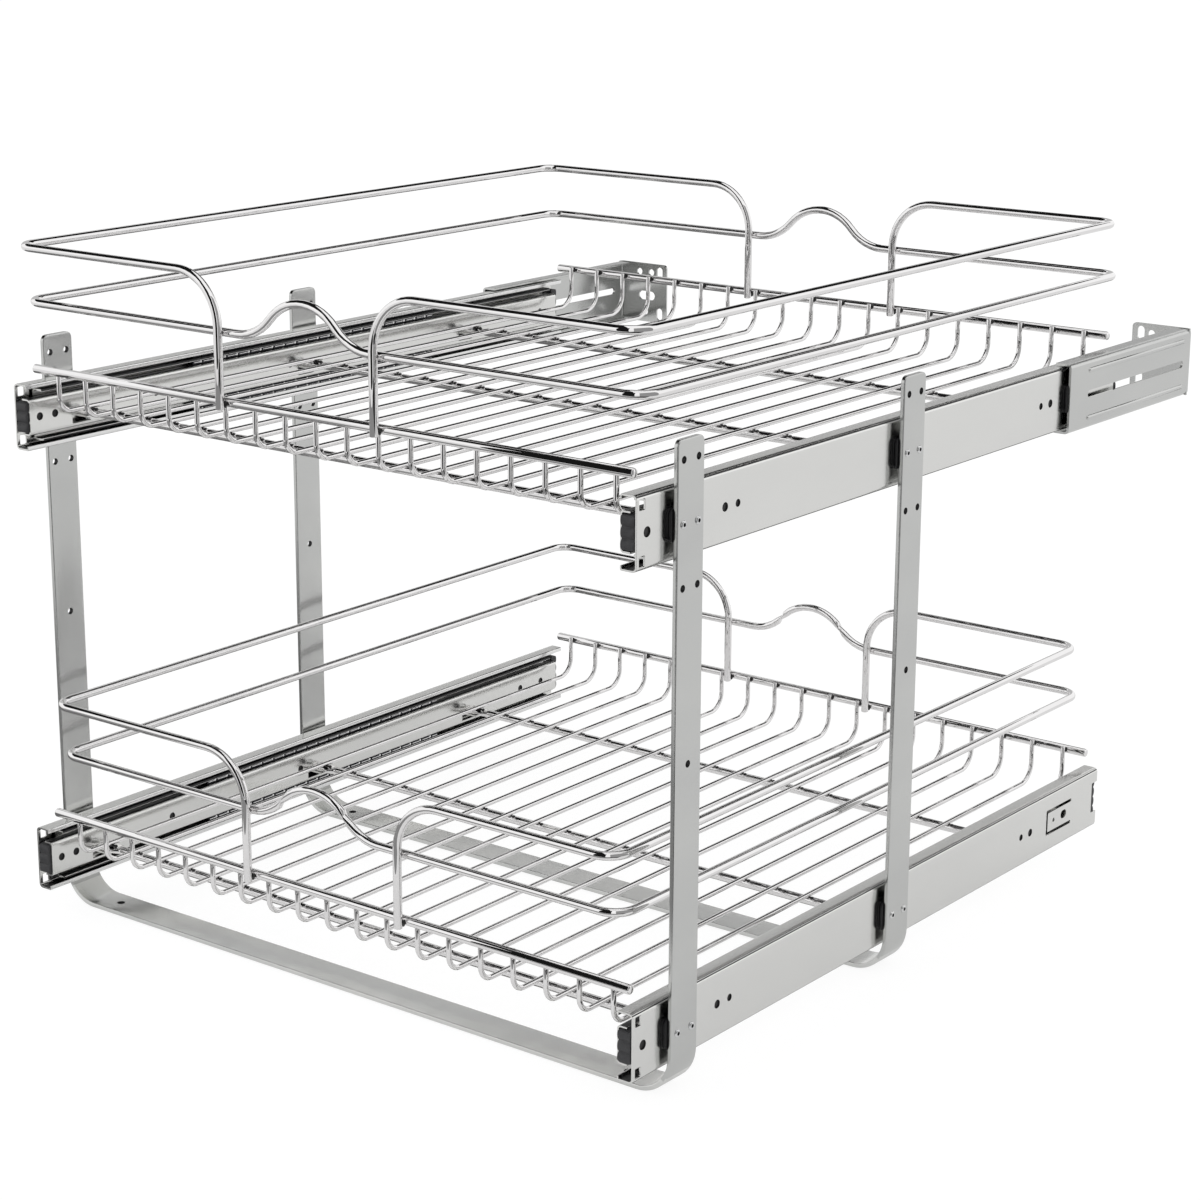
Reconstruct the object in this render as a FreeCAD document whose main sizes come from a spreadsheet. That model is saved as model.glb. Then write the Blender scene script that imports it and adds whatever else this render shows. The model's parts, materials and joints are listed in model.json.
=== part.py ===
import FreeCAD, Part
import math
import os
import re
from types import SimpleNamespace

# Two-tier pull-out wire basket for a base cabinet. The origin is on the cabinet floor, under the
# middle of the front frame. +X is the right side, +Y runs to the cabinet's back, +Z is up, and the
# baskets pull out along -Y. Places along Y are sizes from the slides' front ends, and set_along
# measures them from the origin.

os.makedirs("parts", exist_ok=True)
doc = FreeCAD.newDocument("PullOutBasket")

# Driving sizes in millimetres
SIZES = {
    # Two U-shaped flat-bar frames
    "frame_width": 522,
    "bar_thickness": 3.2,
    "bar_width": 25,
    "upright_height": 397,
    "bend_radius": 26,
    "upright_corner": 4,
    "front_frame_y": 42,
    "rear_frame_y": 278,
    "floor_hole_inset": 41,
    "floor_hole": 5.5,
    "side_hole": 4.5,
    "side_hole_pair": 14,
    "side_hole_rise": 37,
    "middle_hole_z": 206,
    # Spacers and rivets between frames, slides and brackets
    "spacer_thickness": 3,
    "spacer_height": 20,
    "spacer_length": 30,
    "spacer_lead": 6,
    "rivet_shank": 4,
    "rivet_head": 7,
    "rivet_head_height": 1,
    "rivet_tail": 0.5,
    "rivet_pair": 14,
    # Slides: fixed outer member, middle member, basket's inner member
    "lower_slide_z": 41.3,
    "upper_slide_drop": 48.7,
    "slide_length": 560,
    "slide_height": 44,
    "slide_thickness": 12.7,
    "sheet": 1.2,
    "slide_corner": 3,
    "outer_lip_inset": 1.1,
    "middle_set_in": 3,
    "middle_lip_inset": 0.8,
    "middle_front_gap": 0.6,
    "middle_rear_gap": 7.3,
    "inner_leg_gap": 0.55,
    "inner_front": 1.5,
    "inner_rear_gap": 0.8,
    "outer_ball_track": 3.6,
    "inner_ball_track": 3.8,
    "cage_sheet": 0.5,
    "cage_clearance": 0.35,
    "cage_front": 152,
    "cage_length": 252,
    "outer_cage_rise": 2,
    "inner_cage_rise": 2.1,
    "outer_cage_inset": 2.15,
    "inner_cage_inset": 1.95,
    # Openings punched in the slides' webs
    "front_hole": 6.2,
    "front_hole_y": 9.5,
    "pair_hole_large": 5.5,
    "pair_hole_small": 4.6,
    "pair_hole_pitch": 12.8,
    "front_pair_y": 84,
    "rear_pair_inset": 97,
    "corner_window": 5,
    "corner_window_y": 1.5,
    "corner_window_inset": 2.5,
    "lance_front_inset": 74,
    "lance_rear_inset": 38,
    "lance_half_height": 9.3,
    "lance_slot": 2,
    "lance_hole_inset": 50,
    "tail_notch": 7.5,
    "tail_notch_rise": 12,
    "tail_notch_drop": 10.5,
    "inner_hole": 5.2,
    "inner_hole_front": 10,
    "inner_hole_pitch": 13.2,
    "inner_middle_hole_y": 114,
    "inner_rear_hole_y": 246,
    "inner_tail_hole_inset": 55,
    # Rubber stops in the rear ends of the outer members, behind the notches
    "stop_inset": 7.7,
    "stop_length": 6.7,
    "stop_depth": 6.4,
    "stop_rise": 15,
    "stop_drop": 13.8,
    "stop_lobes": 4,
    # Lugs turned in from the inner members, which carry the cross rods
    "lug_length": 16,
    "lug_reach": 14,
    "lug_window_margin": 2.7,
    # Rubber bumpers in the front ends of the inner members
    "bumper_front": -1,
    "bumper_length": 13.4,
    "bumper_clearance": 0.2,
    "bumper_lobe": 1.2,
    "bumper_lobes": 3,
    # Basket floor and rims
    "wire": 3.4,
    "wire_count": 19,
    "wire_inset": 13.5,
    "wire_front_bend": 10,
    "wire_rear_bend": 14,
    "wire_chord_turn": 45,
    "weld_gap": 0.2,
    "floor_rise": 3.5,
    "rim_rod": 6,
    "rim_overhang": 3.4,
    "rim_rise": 31.4,
    "front_rim_y": 10.8,
    "rear_rim_inset": 0.2,
    "cross_rod": 6,
    "cross_rod_front_y": 46,
    "cross_rod_middle_y": 262,
    "cross_rod_rear_inset": 120,
    "tab_thickness": 2.2,
    "tab_width": 13,
    "tab_length": 15,
    "tab_gap": 0.4,
    "screw_head": 7,
    "screw_head_height": 2,
    "screw_inset": 6.4,
    "screw_tail": 3,
    # Gallery rails
    "rail_rod": 5.5,
    "rail_rise": 111.6,
    "middle_rail_rise": 75,
    "upper_rail_overhang": 8.9,
    "lower_rail_inset": 5.5,
    "rail_corner": 14,
    "rail_chord_turn": 22.5,
    "post_bend": 33,
    "post_foot_drop": 3.7,
    "upper_front_post": 70,
    "upper_rear_post": 57.3,
    "lower_front_post": 58.5,
    "lower_rear_post": 70,
    "hump_height": 24,
    "hump_half_width": 54,
    "hump_offset": 4,
    # Brackets that sleeve over the rear ends of the upper slides
    "bracket_sheet": 1.6,
    "bracket_clearance": 0.6,
    "bracket_overlap": 78,
    "bracket_length": 180,
    "bracket_lip": 12,
    "bracket_flange": 47,
    "bracket_slot_front": 25,
    "bracket_slot_rear": 12,
    "bracket_slot_width": 5.2,
    "bracket_rib_rise": 16.6,
    "bracket_rib_width": 3,
    "bracket_rib_height": 0.7,
    "flange_hole": 5.6,
    "flange_hole_inset": 15.5,
    "flange_hole_pitch": 12,
    "flange_hole_rise": 17,
    "flange_low_hole_inset": 21.5,
    "flange_low_hole_drop": 15.8,
    "flange_slot_inset": 20,
    "flange_slot_drop": 2.5,
    "flange_slot_width": 7.4,
    "flange_slot_length": 16.4,
    "flange_edge_inset": 7,
    "flange_edge_slot_width": 6,
    "flange_edge_slot_length": 10,
}

sheet = doc.addObject("Spreadsheet::Sheet", "Sizes")
for row, (alias, value) in enumerate(SIZES.items(), start=1):
    sheet.set(f"A{row}", alias)
    sheet.set(f"B{row}", str(value))
    sheet.setAlias(f"B{row}", alias)
doc.recompute()
s = SimpleNamespace(**{alias: float(sheet.get(alias)) for alias in SIZES})
nodes = []

LEFT, RIGHT = -1, 1
SIDE_NAMES = {LEFT: "left", RIGHT: "right"}

# Faces across the width, measured from the middle plane
upright_face = s.frame_width / 2
upright_inner = upright_face - s.bar_thickness
slide_face = upright_inner - s.spacer_thickness
inner_web = slide_face - s.slide_thickness
rim_end = inner_web + s.rim_overhang
upper_slide_z = s.upright_height - s.upper_slide_drop

# Places along Y, as expressions of the sheet's sizes
MIDDLE_FRONT = "(bumper_front + bumper_length + middle_front_gap)"
STOP_FRONT = "(slide_length - stop_inset)"
REAR_RIM = "(slide_length - rear_rim_inset)"

TIERS = {
    "lower": SimpleNamespace(
        z="lower_slide_z",
        slide_z=s.lower_slide_z,
        rail_x=inner_web - s.lower_rail_inset,
        front_post=s.lower_front_post,
        rear_post=s.lower_rear_post,
    ),
    "upper": SimpleNamespace(
        z="upright_height - upper_slide_drop",
        slide_z=upper_slide_z,
        rail_x=inner_web + s.upper_rail_overhang,
        front_post=s.upper_front_post,
        rear_post=s.upper_rear_post,
    ),
}

# Heights of the slides' members, one inside the other with a ball track between
middle_height = s.slide_height - 2 * (s.sheet + s.outer_ball_track)
inner_height = middle_height - 2 * (s.sheet + s.inner_ball_track)

# Heights of the basket's wires over the slide's middle plane
floor_wire_z = s.floor_rise
cross_rod_z = floor_wire_z - s.wire / 2 - s.weld_gap - s.cross_rod / 2
lug_top = cross_rod_z - s.tab_thickness / 2
cross_rod_places = [s.cross_rod_front_y, s.cross_rod_middle_y, s.slide_length - s.cross_rod_rear_inset]
rear_rim_y = s.slide_length - s.rear_rim_inset


def bind(obj, prop, text):
    """Bind a property to an expression written with the sheet's aliases."""
    named = re.sub(r"[a-z][a-z_]+", lambda word: "Sizes." + word.group(0), text)
    obj.setExpression(prop, named)


def set_along(obj, place):
    """Set an object at a place along Y that counts from the slides' front ends."""
    bind(obj, "Placement.Base.y", f"{place} - front_frame_y")


def keep(obj, label):
    """List an object as a sub-part, under the name of its file."""
    obj.Label = label
    nodes.append(obj)
    return obj


def vec(x, y, z=0.0):
    return FreeCAD.Vector(x, y, z)


def rounded_edges(points, radii, closed):
    """Edges through the points, with a tangent arc at each corner that has a radius."""
    count = len(points)
    edges = []
    starts = []
    ends = []
    arcs = []
    for i, (corner, radius) in enumerate(zip(points, radii)):
        if radius < 1e-6 or (not closed and i in (0, count - 1)):
            starts.append(corner)
            ends.append(corner)
            arcs.append(None)
            continue
        back = (points[i - 1] - corner).normalize()
        ahead = (points[(i + 1) % count] - corner).normalize()
        half = back.getAngle(ahead) / 2
        reach = radius / math.tan(half)
        middle = (back + ahead).normalize()
        centre_distance = radius / math.sin(half)
        starts.append(corner + back * reach)
        ends.append(corner + ahead * reach)
        arcs.append(corner + middle * (centre_distance - radius))
    for i in range(count):
        if arcs[i] is not None:
            edges.append(Part.Arc(starts[i], arcs[i], ends[i]))
        following = (i + 1) % count
        if not closed and following == 0:
            break
        if (starts[following] - ends[i]).Length > 1e-4:
            edges.append(Part.LineSegment(ends[i], starts[following]))
    return edges


def origin_plane(body, role):
    return next(item for item in body.Origin.OriginFeatures if item.Role == role)


def new_sketch(body, role, curves, offset=0.0):
    """Sketch on one of the body's own origin planes, from a list of curves."""
    sketch = body.newObject("Sketcher::SketchObject", "Sketch")
    sketch.AttachmentSupport = [(origin_plane(body, role), "")]
    sketch.MapMode = "FlatFace"
    sketch.AttachmentOffset = FreeCAD.Placement(vec(0, 0, offset), FreeCAD.Rotation())
    for curve in curves:
        sketch.addGeometry(curve, False)
    return sketch


def outline(points, radii=None):
    """Closed outline in a sketch's own plane."""
    corners = [vec(x, y) for x, y in points]
    return rounded_edges(corners, radii or [0.0] * len(corners), True)


def rectangle(x0, x1, y0, y1):
    return outline([(x0, y0), (x1, y0), (x1, y1), (x0, y1)])


def circle(x, y, diameter):
    return [Part.Circle(vec(x, y), vec(0, 0, 1), diameter / 2)]


def eight_flats(x, y, across, longer_x=0.0, longer_y=0.0):
    """Small repeated hole with eight flats, as far apart as it is wide; longer ones are slots."""
    radius = across / 2 / math.cos(math.pi / 8)
    corners = []
    for index in range(8):
        angle = math.pi / 8 + index * math.pi / 4
        along, up = math.cos(angle), math.sin(angle)
        corners.append((x + radius * along + math.copysign(longer_x / 2, along),
                        y + radius * up + math.copysign(longer_y / 2, up)))
    return outline(corners)


def pad(body, sketch, length, reverse=False):
    feature = body.newObject("PartDesign::Pad", "Pad")
    feature.Profile = sketch
    bind(feature, "Length", length)
    feature.Reversed = reverse
    sketch.Visibility = False
    return feature


def pocket_through(body, sketch):
    feature = body.newObject("PartDesign::Pocket", "Pocket")
    feature.Profile = sketch
    feature.Type = "ThroughAll"
    feature.Midplane = True
    sketch.Visibility = False
    return feature


def channel_outline(face_x, lip_x, height, thickness, corner):
    """C section: the web stands at face_x and the legs reach to lip_x."""
    inward = math.copysign(thickness, lip_x - face_x)
    top = height / 2
    points = [
        (face_x, top),
        (face_x, -top),
        (lip_x, -top),
        (lip_x, -top + thickness),
        (face_x + inward, -top + thickness),
        (face_x + inward, top - thickness),
        (lip_x, top - thickness),
        (lip_x, top),
    ]
    inside = max(corner - thickness, 0.0)
    return outline(points, [corner, corner, 0, 0, inside, inside, 0, 0])


def channel_body(label, tier, front, length, *section):
    """Slide member: a C section padded along +Y from its front end."""
    body = doc.addObject("PartDesign::Body", label)
    profile = new_sketch(body, "XZ_Plane", channel_outline(*section))
    pad(body, profile, length, reverse=True)
    set_along(body, front)
    bind(body, "Placement.Base.z", TIERS[tier].z)
    return keep(body, label)


def frame(label, place):
    """U-shaped flat bar: two uprights and the bar on the cabinet floor, in one bent piece."""
    body = doc.addObject("PartDesign::Body", label)
    top = s.upright_height
    thick = s.bar_thickness
    inside = s.bend_radius - thick
    points = [
        (-upright_face, top),
        (-upright_face, 0),
        (upright_face, 0),
        (upright_face, top),
        (upright_inner, top),
        (upright_inner, thick),
        (-upright_inner, thick),
        (-upright_inner, top),
    ]
    radii = [0, s.bend_radius, s.bend_radius, 0, 0, inside, inside, 0]
    bar = pad(body, new_sketch(body, "XZ_Plane", outline(points, radii), s.bar_width / -2), "bar_width")
    doc.recompute()
    corners = []
    for number, edge in enumerate(bar.Shape.Edges, start=1):
        middle = edge.CenterOfMass
        if abs(middle.z - top) < 1e-3 and abs(edge.Length - thick) < 1e-3:
            corners.append(f"Edge{number}")
    ends = body.newObject("PartDesign::Fillet", "UprightEnds")
    ends.Base = (bar, corners)
    bind(ends, "Radius", "upright_corner")

    side_holes = []
    for rise in (s.side_hole_rise, -s.side_hole_rise):
        for half in (-s.side_hole_pair / 2, s.side_hole_pair / 2):
            side_holes += eight_flats(half, upper_slide_z + rise, s.side_hole)
    side_holes += eight_flats(0, s.middle_hole_z, s.side_hole)
    pocket_through(body, new_sketch(body, "YZ_Plane", side_holes))
    floor_holes = []
    for side in (LEFT, RIGHT):
        floor_holes += circle(side * (upright_face - s.floor_hole_inset), 0, s.floor_hole)
    pocket_through(body, new_sketch(body, "XY_Plane", floor_holes))
    set_along(body, place)
    return keep(body, label)


def outer_member(tier, side):
    """Fixed member: C section with its web to the uprights, punched for the mounting patterns."""
    label = f"{tier}_{SIDE_NAMES[side]}_outer_member"
    face = side * slide_face
    lip = side * (inner_web + s.outer_lip_inset)
    body = channel_body(
        label, tier, "0", "slide_length", face, lip, s.slide_height, s.sheet, s.slide_corner
    )
    holes = eight_flats(s.front_hole_y, 0, s.front_hole)
    holes += eight_flats(s.front_pair_y, 0, s.pair_hole_large)
    holes += eight_flats(s.front_pair_y + s.pair_hole_pitch, 0, s.pair_hole_small)
    rear_pair = s.slide_length - s.rear_pair_inset
    holes += eight_flats(rear_pair, 0, s.pair_hole_large)
    holes += eight_flats(rear_pair - s.pair_hole_pitch, 0, s.pair_hole_small)
    window_high = s.slide_height / 2 - s.corner_window_inset
    for up in (-1, 1):
        low, high = sorted((up * window_high, up * (window_high - s.corner_window)))
        holes += rectangle(s.corner_window_y, s.corner_window_y + s.corner_window, low, high)
    pocket_through(body, new_sketch(body, "YZ_Plane", holes))

    # A tongue is freed on three sides by one U-shaped slot, and has a hole of its own
    front, rear = s.slide_length - s.lance_front_inset, s.slide_length - s.lance_rear_inset
    half, width = s.lance_half_height, s.lance_slot
    tongue = outline([
        (front, -half), (rear, -half), (rear, -half + width), (front + width, -half + width),
        (front + width, half - width), (rear, half - width), (rear, half), (front, half),
    ])
    tongue += eight_flats(s.slide_length - s.lance_hole_inset, 0, s.pair_hole_large)
    pocket_through(body, new_sketch(body, "YZ_Plane", tongue))

    # The rear end is stepped back between two lobes
    notch = rectangle(s.slide_length - s.tail_notch, s.slide_length + s.tail_notch,
                      -s.tail_notch_drop, s.tail_notch_rise)
    pocket_through(body, new_sketch(body, "YZ_Plane", notch))
    return body


def middle_member(tier, side):
    label = f"{tier}_{SIDE_NAMES[side]}_middle_member"
    face = slide_face - s.middle_set_in
    lip = inner_web + s.middle_lip_inset
    return channel_body(
        label, tier, MIDDLE_FRONT, f"{STOP_FRONT} - middle_rear_gap - {MIDDLE_FRONT}",
        side * face, side * lip, middle_height, s.sheet, s.slide_corner - s.sheet / 2,
    )


def inner_member(tier, side):
    """Basket's member: C section open to the outside, with three lugs turned in for the rods."""
    label = f"{tier}_{SIDE_NAMES[side]}_inner_member"
    web = side * inner_web
    leg_end = slide_face - s.middle_set_in - s.sheet - s.cage_clearance - s.cage_sheet - s.inner_leg_gap
    body = channel_body(
        label, tier, "inner_front", f"{STOP_FRONT} - inner_rear_gap - inner_front",
        web, side * leg_end, inner_height, s.sheet, 2 * s.sheet,
    )
    rods = [y - s.inner_front for y in cross_rod_places]
    for y in rods:
        low, high = sorted((side * (inner_web - s.lug_reach), side * (inner_web + s.sheet / 2)))
        lug = new_sketch(body, "XY_Plane", rectangle(low, high, y - s.lug_length / 2, y + s.lug_length / 2),
                         lug_top)
        pad(body, lug, "sheet", reverse=True)
    windows = []
    for y in rods:
        front, rear = y - s.lug_length / 2, y + s.lug_length / 2
        windows += rectangle(front, rear, s.lug_window_margin - inner_height / 2, lug_top - s.sheet)
    pocket_through(body, new_sketch(body, "YZ_Plane", windows))
    holes = []
    tail_hole = s.slide_length - s.inner_tail_hole_inset
    for y in (s.inner_hole_front, s.inner_hole_front + s.inner_hole_pitch, s.inner_middle_hole_y,
              s.inner_rear_hole_y, tail_hole, tail_hole + 2 * s.inner_hole_pitch):
        holes += eight_flats(y - s.inner_front, 0, s.inner_hole)
    pocket_through(body, new_sketch(body, "YZ_Plane", holes))
    return body


def ball_cage(tier, side, ring):
    """Thin strip that spaces the balls between two members."""
    label = f"{tier}_{SIDE_NAMES[side]}_{ring}_ball_cage"
    middle_face = slide_face - s.middle_set_in
    if ring == "outer":
        face = middle_face + s.cage_clearance + s.cage_sheet
        lip = inner_web + s.outer_cage_inset
        height = middle_height + 2 * s.outer_cage_rise
    else:
        face = middle_face - s.sheet - s.cage_clearance
        lip = inner_web + s.inner_cage_inset
        height = inner_height + 2 * s.inner_cage_rise
    return channel_body(label, tier, "cage_front", "cage_length", side * face, side * lip, height,
                        s.cage_sheet, 0.0)


def lobed_outline(base, back, low, high, lobes):
    """Straight-backed outline with a row of arched lobes on its other edge."""
    curves = [
        Part.LineSegment(vec(base, high), vec(back, high)),
        Part.LineSegment(vec(back, high), vec(back, low)),
        Part.LineSegment(vec(back, low), vec(base, low)),
    ]
    count = int(lobes)
    pitch = (high - low) / count
    crown = base + math.copysign(s.bumper_lobe, base - back)
    for index in range(count):
        start = low + index * pitch
        curves.append(Part.Arc(vec(base, start), vec(crown, start + pitch / 2), vec(base, start + pitch)))
    return curves


def bumper(tier, side):
    """Rubber plug in the front end of the inner member, with three lobes on its face."""
    label = f"{tier}_{SIDE_NAMES[side]}_bumper"
    body = doc.addObject("PartDesign::Body", label)
    half = inner_height / 2 - s.sheet - s.bumper_clearance
    curves = lobed_outline(s.bumper_lobe, s.bumper_length, -half, half, s.bumper_lobes)
    inner_side = inner_web + s.sheet + s.bumper_clearance
    start = inner_side if side == RIGHT else -inner_side
    profile = new_sketch(body, "YZ_Plane", curves, start)
    pad(body, profile, "slide_thickness - 2 * sheet - 3 * bumper_clearance", reverse=side == LEFT)
    set_along(body, "bumper_front")
    bind(body, "Placement.Base.z", TIERS[tier].z)
    return keep(body, label)


def rear_stop(tier, side):
    """Rubber stop on the outer member's web, seen through the notch in its rear end."""
    label = f"{tier}_{SIDE_NAMES[side]}_rear_stop"
    body = doc.addObject("PartDesign::Body", label)
    curves = lobed_outline(s.stop_length - s.bumper_lobe, 0, -s.stop_drop, s.stop_rise, s.stop_lobes)
    profile = new_sketch(body, "YZ_Plane", curves, side * (slide_face - s.sheet))
    pad(body, profile, "stop_depth", reverse=side == RIGHT)
    set_along(body, STOP_FRONT)
    bind(body, "Placement.Base.z", TIERS[tier].z)
    return keep(body, label)


def rear_bracket(side):
    """Sleeve over the rear end of an upper slide, with a slotted flange for the cabinet's back."""
    label = f"{SIDE_NAMES[side]}_rear_bracket"
    body = doc.addObject("PartDesign::Body", label)
    thick = s.bracket_sheet
    face = upright_inner + thick
    lip = face - s.bracket_lip
    half = s.slide_height / 2 + s.bracket_clearance + thick
    section = channel_outline(side * face, side * lip, 2 * half, thick, 2 * thick)
    pad(body, new_sketch(body, "XZ_Plane", section), "bracket_length")
    low, high = sorted((side * (face - s.bracket_flange), side * (face - thick / 2)))
    edge = side * (face - s.bracket_flange)
    corner = 2 * thick
    flange = outline([(low, -half), (high, -half), (high, half), (low, half)],
                     [corner, 0, 0, corner] if side == RIGHT else [0, corner, corner, 0])
    pad(body, new_sketch(body, "XZ_Plane", flange), "bracket_sheet")

    # Flange holes, placed from its free edge
    holes = []
    for inset in (s.flange_hole_inset, s.flange_hole_inset + s.flange_hole_pitch):
        holes += circle(edge + side * inset, s.flange_hole_rise, s.flange_hole)
    holes += circle(edge + side * s.flange_low_hole_inset, -s.flange_low_hole_drop, s.flange_hole)
    holes += eight_flats(edge + side * s.flange_slot_inset, -s.flange_slot_drop, s.flange_slot_width,
                         longer_x=s.flange_slot_length - s.flange_slot_width)
    for rise in (s.flange_hole_rise, -s.flange_hole_rise):
        holes += eight_flats(edge + side * s.flange_edge_inset, rise, s.flange_edge_slot_width,
                             longer_y=s.flange_edge_slot_length - s.flange_edge_slot_width)
    cut = body.newObject("PartDesign::Pocket", "FlangeHoles")
    cut.Profile = new_sketch(body, "XZ_Plane", holes)
    cut.Reversed = True
    bind(cut, "Length", "2 * bracket_sheet")

    # Long slot in the web and two ribs along it
    slot_front, slot_rear = s.bracket_slot_front - s.bracket_length, -s.bracket_slot_rear
    slot_length = slot_rear - slot_front
    web_slot = eight_flats((slot_front + slot_rear) / 2, 0, s.bracket_slot_width,
                           longer_x=slot_length - s.bracket_slot_width)
    pocket_through(body, new_sketch(body, "YZ_Plane", web_slot))
    ribs = []
    rib_half = s.bracket_rib_width / 2
    for up in (-1, 1):
        low, high = sorted((up * s.bracket_rib_rise, up * (s.bracket_rib_rise + s.bracket_rib_width)))
        ribs += rectangle(slot_front, slot_rear, low - rib_half, high - rib_half)
    pad(body, new_sketch(body, "YZ_Plane", ribs, side * face), "bracket_rib_height", reverse=side == LEFT)
    set_along(body, "slide_length - bracket_overlap + bracket_length")
    bind(body, "Placement.Base.z", TIERS["upper"].z)
    return keep(body, label)


def group(label, shapes):
    """One or more solids of one kind, kept in one sub-part."""
    feature = doc.addObject("Part::Feature", label)
    feature.Shape = Part.makeCompound(shapes)
    set_along(feature, "0")
    return keep(feature, label)


def spacer(side, front, z):
    """Rubber pad between a slide's web and an upright or bracket: upright, with rounded ends."""
    radius = s.spacer_height / 2
    points = []
    for centre, turn in ((front + radius, math.pi / 2), (front + s.spacer_length - radius, -math.pi / 2)):
        for step in range(7):
            angle = turn + step * math.pi / 6
            points.append(vec(0, centre + radius * math.cos(angle), z + radius * math.sin(angle)))
    prism = Part.Face(Part.makePolygon(points + points[:1])).extrude(vec(s.spacer_thickness, 0, 0))
    prism.translate(vec(slide_face if side == RIGHT else -upright_inner, 0, 0))
    return prism


# Rods, wires and fasteners have eight flats, as far apart as the rod is thick
def ring(at, direction, thickness):
    normal = vec(direction.x, direction.y, direction.z).normalize()
    first = normal.cross(vec(1, 0, 0) if abs(normal.x) < 0.9 else vec(0, 1, 0)).normalize()
    second = normal.cross(first)
    radius = thickness / 2 / math.cos(math.pi / 8)
    corners = []
    for index in range(8):
        angle = math.pi / 8 + index * math.pi / 4
        corners.append(at + first * (radius * math.cos(angle)) + second * (radius * math.sin(angle)))
    return corners


def stub(at, direction, length, thickness):
    """Straight rod from a point."""
    corners = ring(at, direction, thickness)
    return Part.Face(Part.makePolygon(corners + corners[:1])).extrude(direction * length)


def rivet(side, y, z):
    """Closed rivet: head on the upright, tail just inside the slide's web."""
    outward = vec(side, 0, 0)
    tail = slide_face - s.sheet - s.rivet_tail
    shank = stub(vec(side * tail, y, z), outward, upright_face - tail, s.rivet_shank)
    head = stub(vec(side * upright_face, y, z), outward, s.rivet_head_height, s.rivet_head)
    return shank.fuse(head)


def with_bends(points, radii, step, closed):
    """Centre line whose rounded corners are runs of straight chords, each turning by about a step."""
    count = len(points)
    line = []
    for i, (corner, radius) in enumerate(zip(points, radii)):
        if not closed and i in (0, count - 1):
            line.append(corner)
            continue
        back = (points[i - 1] - corner).normalize()
        ahead = (points[(i + 1) % count] - corner).normalize()
        turn = math.pi - back.getAngle(ahead)
        outward = (back + ahead).normalize() * -1
        along = (ahead - back).normalize()
        centre = corner - outward * (radius / math.cos(turn / 2))
        chords = max(1, round(turn / step))
        reach = radius / math.cos(turn / chords / 2)
        for chord in range(chords):
            angle = turn * ((chord + 0.5) / chords - 0.5)
            line.append(centre + outward * (reach * math.cos(angle)) + along * (reach * math.sin(angle)))
    return line


def swept(points, radii, thickness, step, closed=False):
    """Bent rod along the points, mitred between its chords."""
    line = with_bends(points, radii, math.radians(step), closed)
    if closed:
        line.append(line[0])
    legs = [(end - start).normalize() for start, end in zip(line, line[1:])]
    before = [legs[-1] if closed else legs[0]] + legs
    after = legs + [legs[0] if closed else legs[-1]]
    corners = ring(line[0], legs[0], thickness)
    rings = []
    for place, (at, arriving, leaving) in enumerate(zip(line, before, after)):
        direction = legs[0] if place == 0 else arriving
        mitre = arriving + leaving
        corners = [
            corner + direction * ((at - corner).dot(mitre) / direction.dot(mitre)) for corner in corners
        ]
        rings.append(corners)
    faces = []
    for first, second in zip(rings, rings[1:]):
        for k in range(len(first)):
            m = (k + 1) % len(first)
            faces.append(Part.Face(Part.makePolygon([first[k], first[m], second[m], second[k], first[k]])))
    if not closed:
        for cap in (rings[0], rings[-1]):
            faces.append(Part.Face(Part.makePolygon(cap + cap[:1])))
    solid = Part.Solid(Part.Shell(faces))
    if solid.Volume < 0:
        solid.reverse()
    return solid


def floor_wire(x, slide_z):
    """Floor wire with both ends turned up behind the rims."""
    reach = s.rim_rod / 2 + s.wire / 2 + s.weld_gap
    front = s.front_rim_y + reach
    rear = rear_rim_y - reach
    low = slide_z + floor_wire_z
    high = slide_z + s.rim_rise + s.rim_rod / 2 - s.weld_gap
    points = [vec(x, front, high), vec(x, front, low), vec(x, rear, low), vec(x, rear, high)]
    return swept(points, [0, s.wire_front_bend, s.wire_rear_bend, 0], s.wire, s.wire_chord_turn)


def cross_rod(y, slide_z):
    """Rod under the floor wires, with flattened ends that lie on the lugs."""
    z = slide_z + cross_rod_z
    tab_end = inner_web - s.tab_gap
    rod_end = tab_end - s.tab_length
    solid = stub(vec(-rod_end, y, z), vec(1, 0, 0), 2 * rod_end, s.cross_rod)
    for side in (LEFT, RIGHT):
        start = side * (rod_end - s.cross_rod)
        low = min(start, side * tab_end)
        tab = Part.makeBox(tab_end - rod_end + s.cross_rod, s.tab_width, s.tab_thickness,
                           vec(low, y - s.tab_width / 2, z - s.tab_thickness / 2))
        corners = [edge for edge in tab.Edges if abs(edge.Length - s.tab_thickness) < 1e-6]
        solid = solid.fuse(tab.makeChamfer(s.tab_width / 5, corners))
    return solid.removeSplitter()


def screw(side, y, slide_z):
    """Pan-head screw through a rod's tab and the lug under it."""
    up = vec(0, 0, 1)
    top = slide_z + cross_rod_z + s.tab_thickness / 2
    x = side * (inner_web - s.screw_inset)
    length = s.tab_thickness + s.sheet + s.screw_tail
    shank = stub(vec(x, y, top - length), up, length, s.rivet_shank)
    return shank.fuse(stub(vec(x, y, top), up, s.screw_head_height, s.screw_head))


def rim_rod(label, tier, place):
    rod = doc.addObject("Part::Cylinder", label)
    rod.Placement = FreeCAD.Placement(vec(-rim_end, 0, 0), FreeCAD.Rotation(vec(0, 1, 0), 90))
    rod.Height = 2 * rim_end
    bind(rod, "Radius", "rim_rod / 2")
    set_along(rod, place)
    bind(rod, "Placement.Base.z", f"{TIERS[tier].z} + rim_rise")
    return keep(rod, label)


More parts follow.
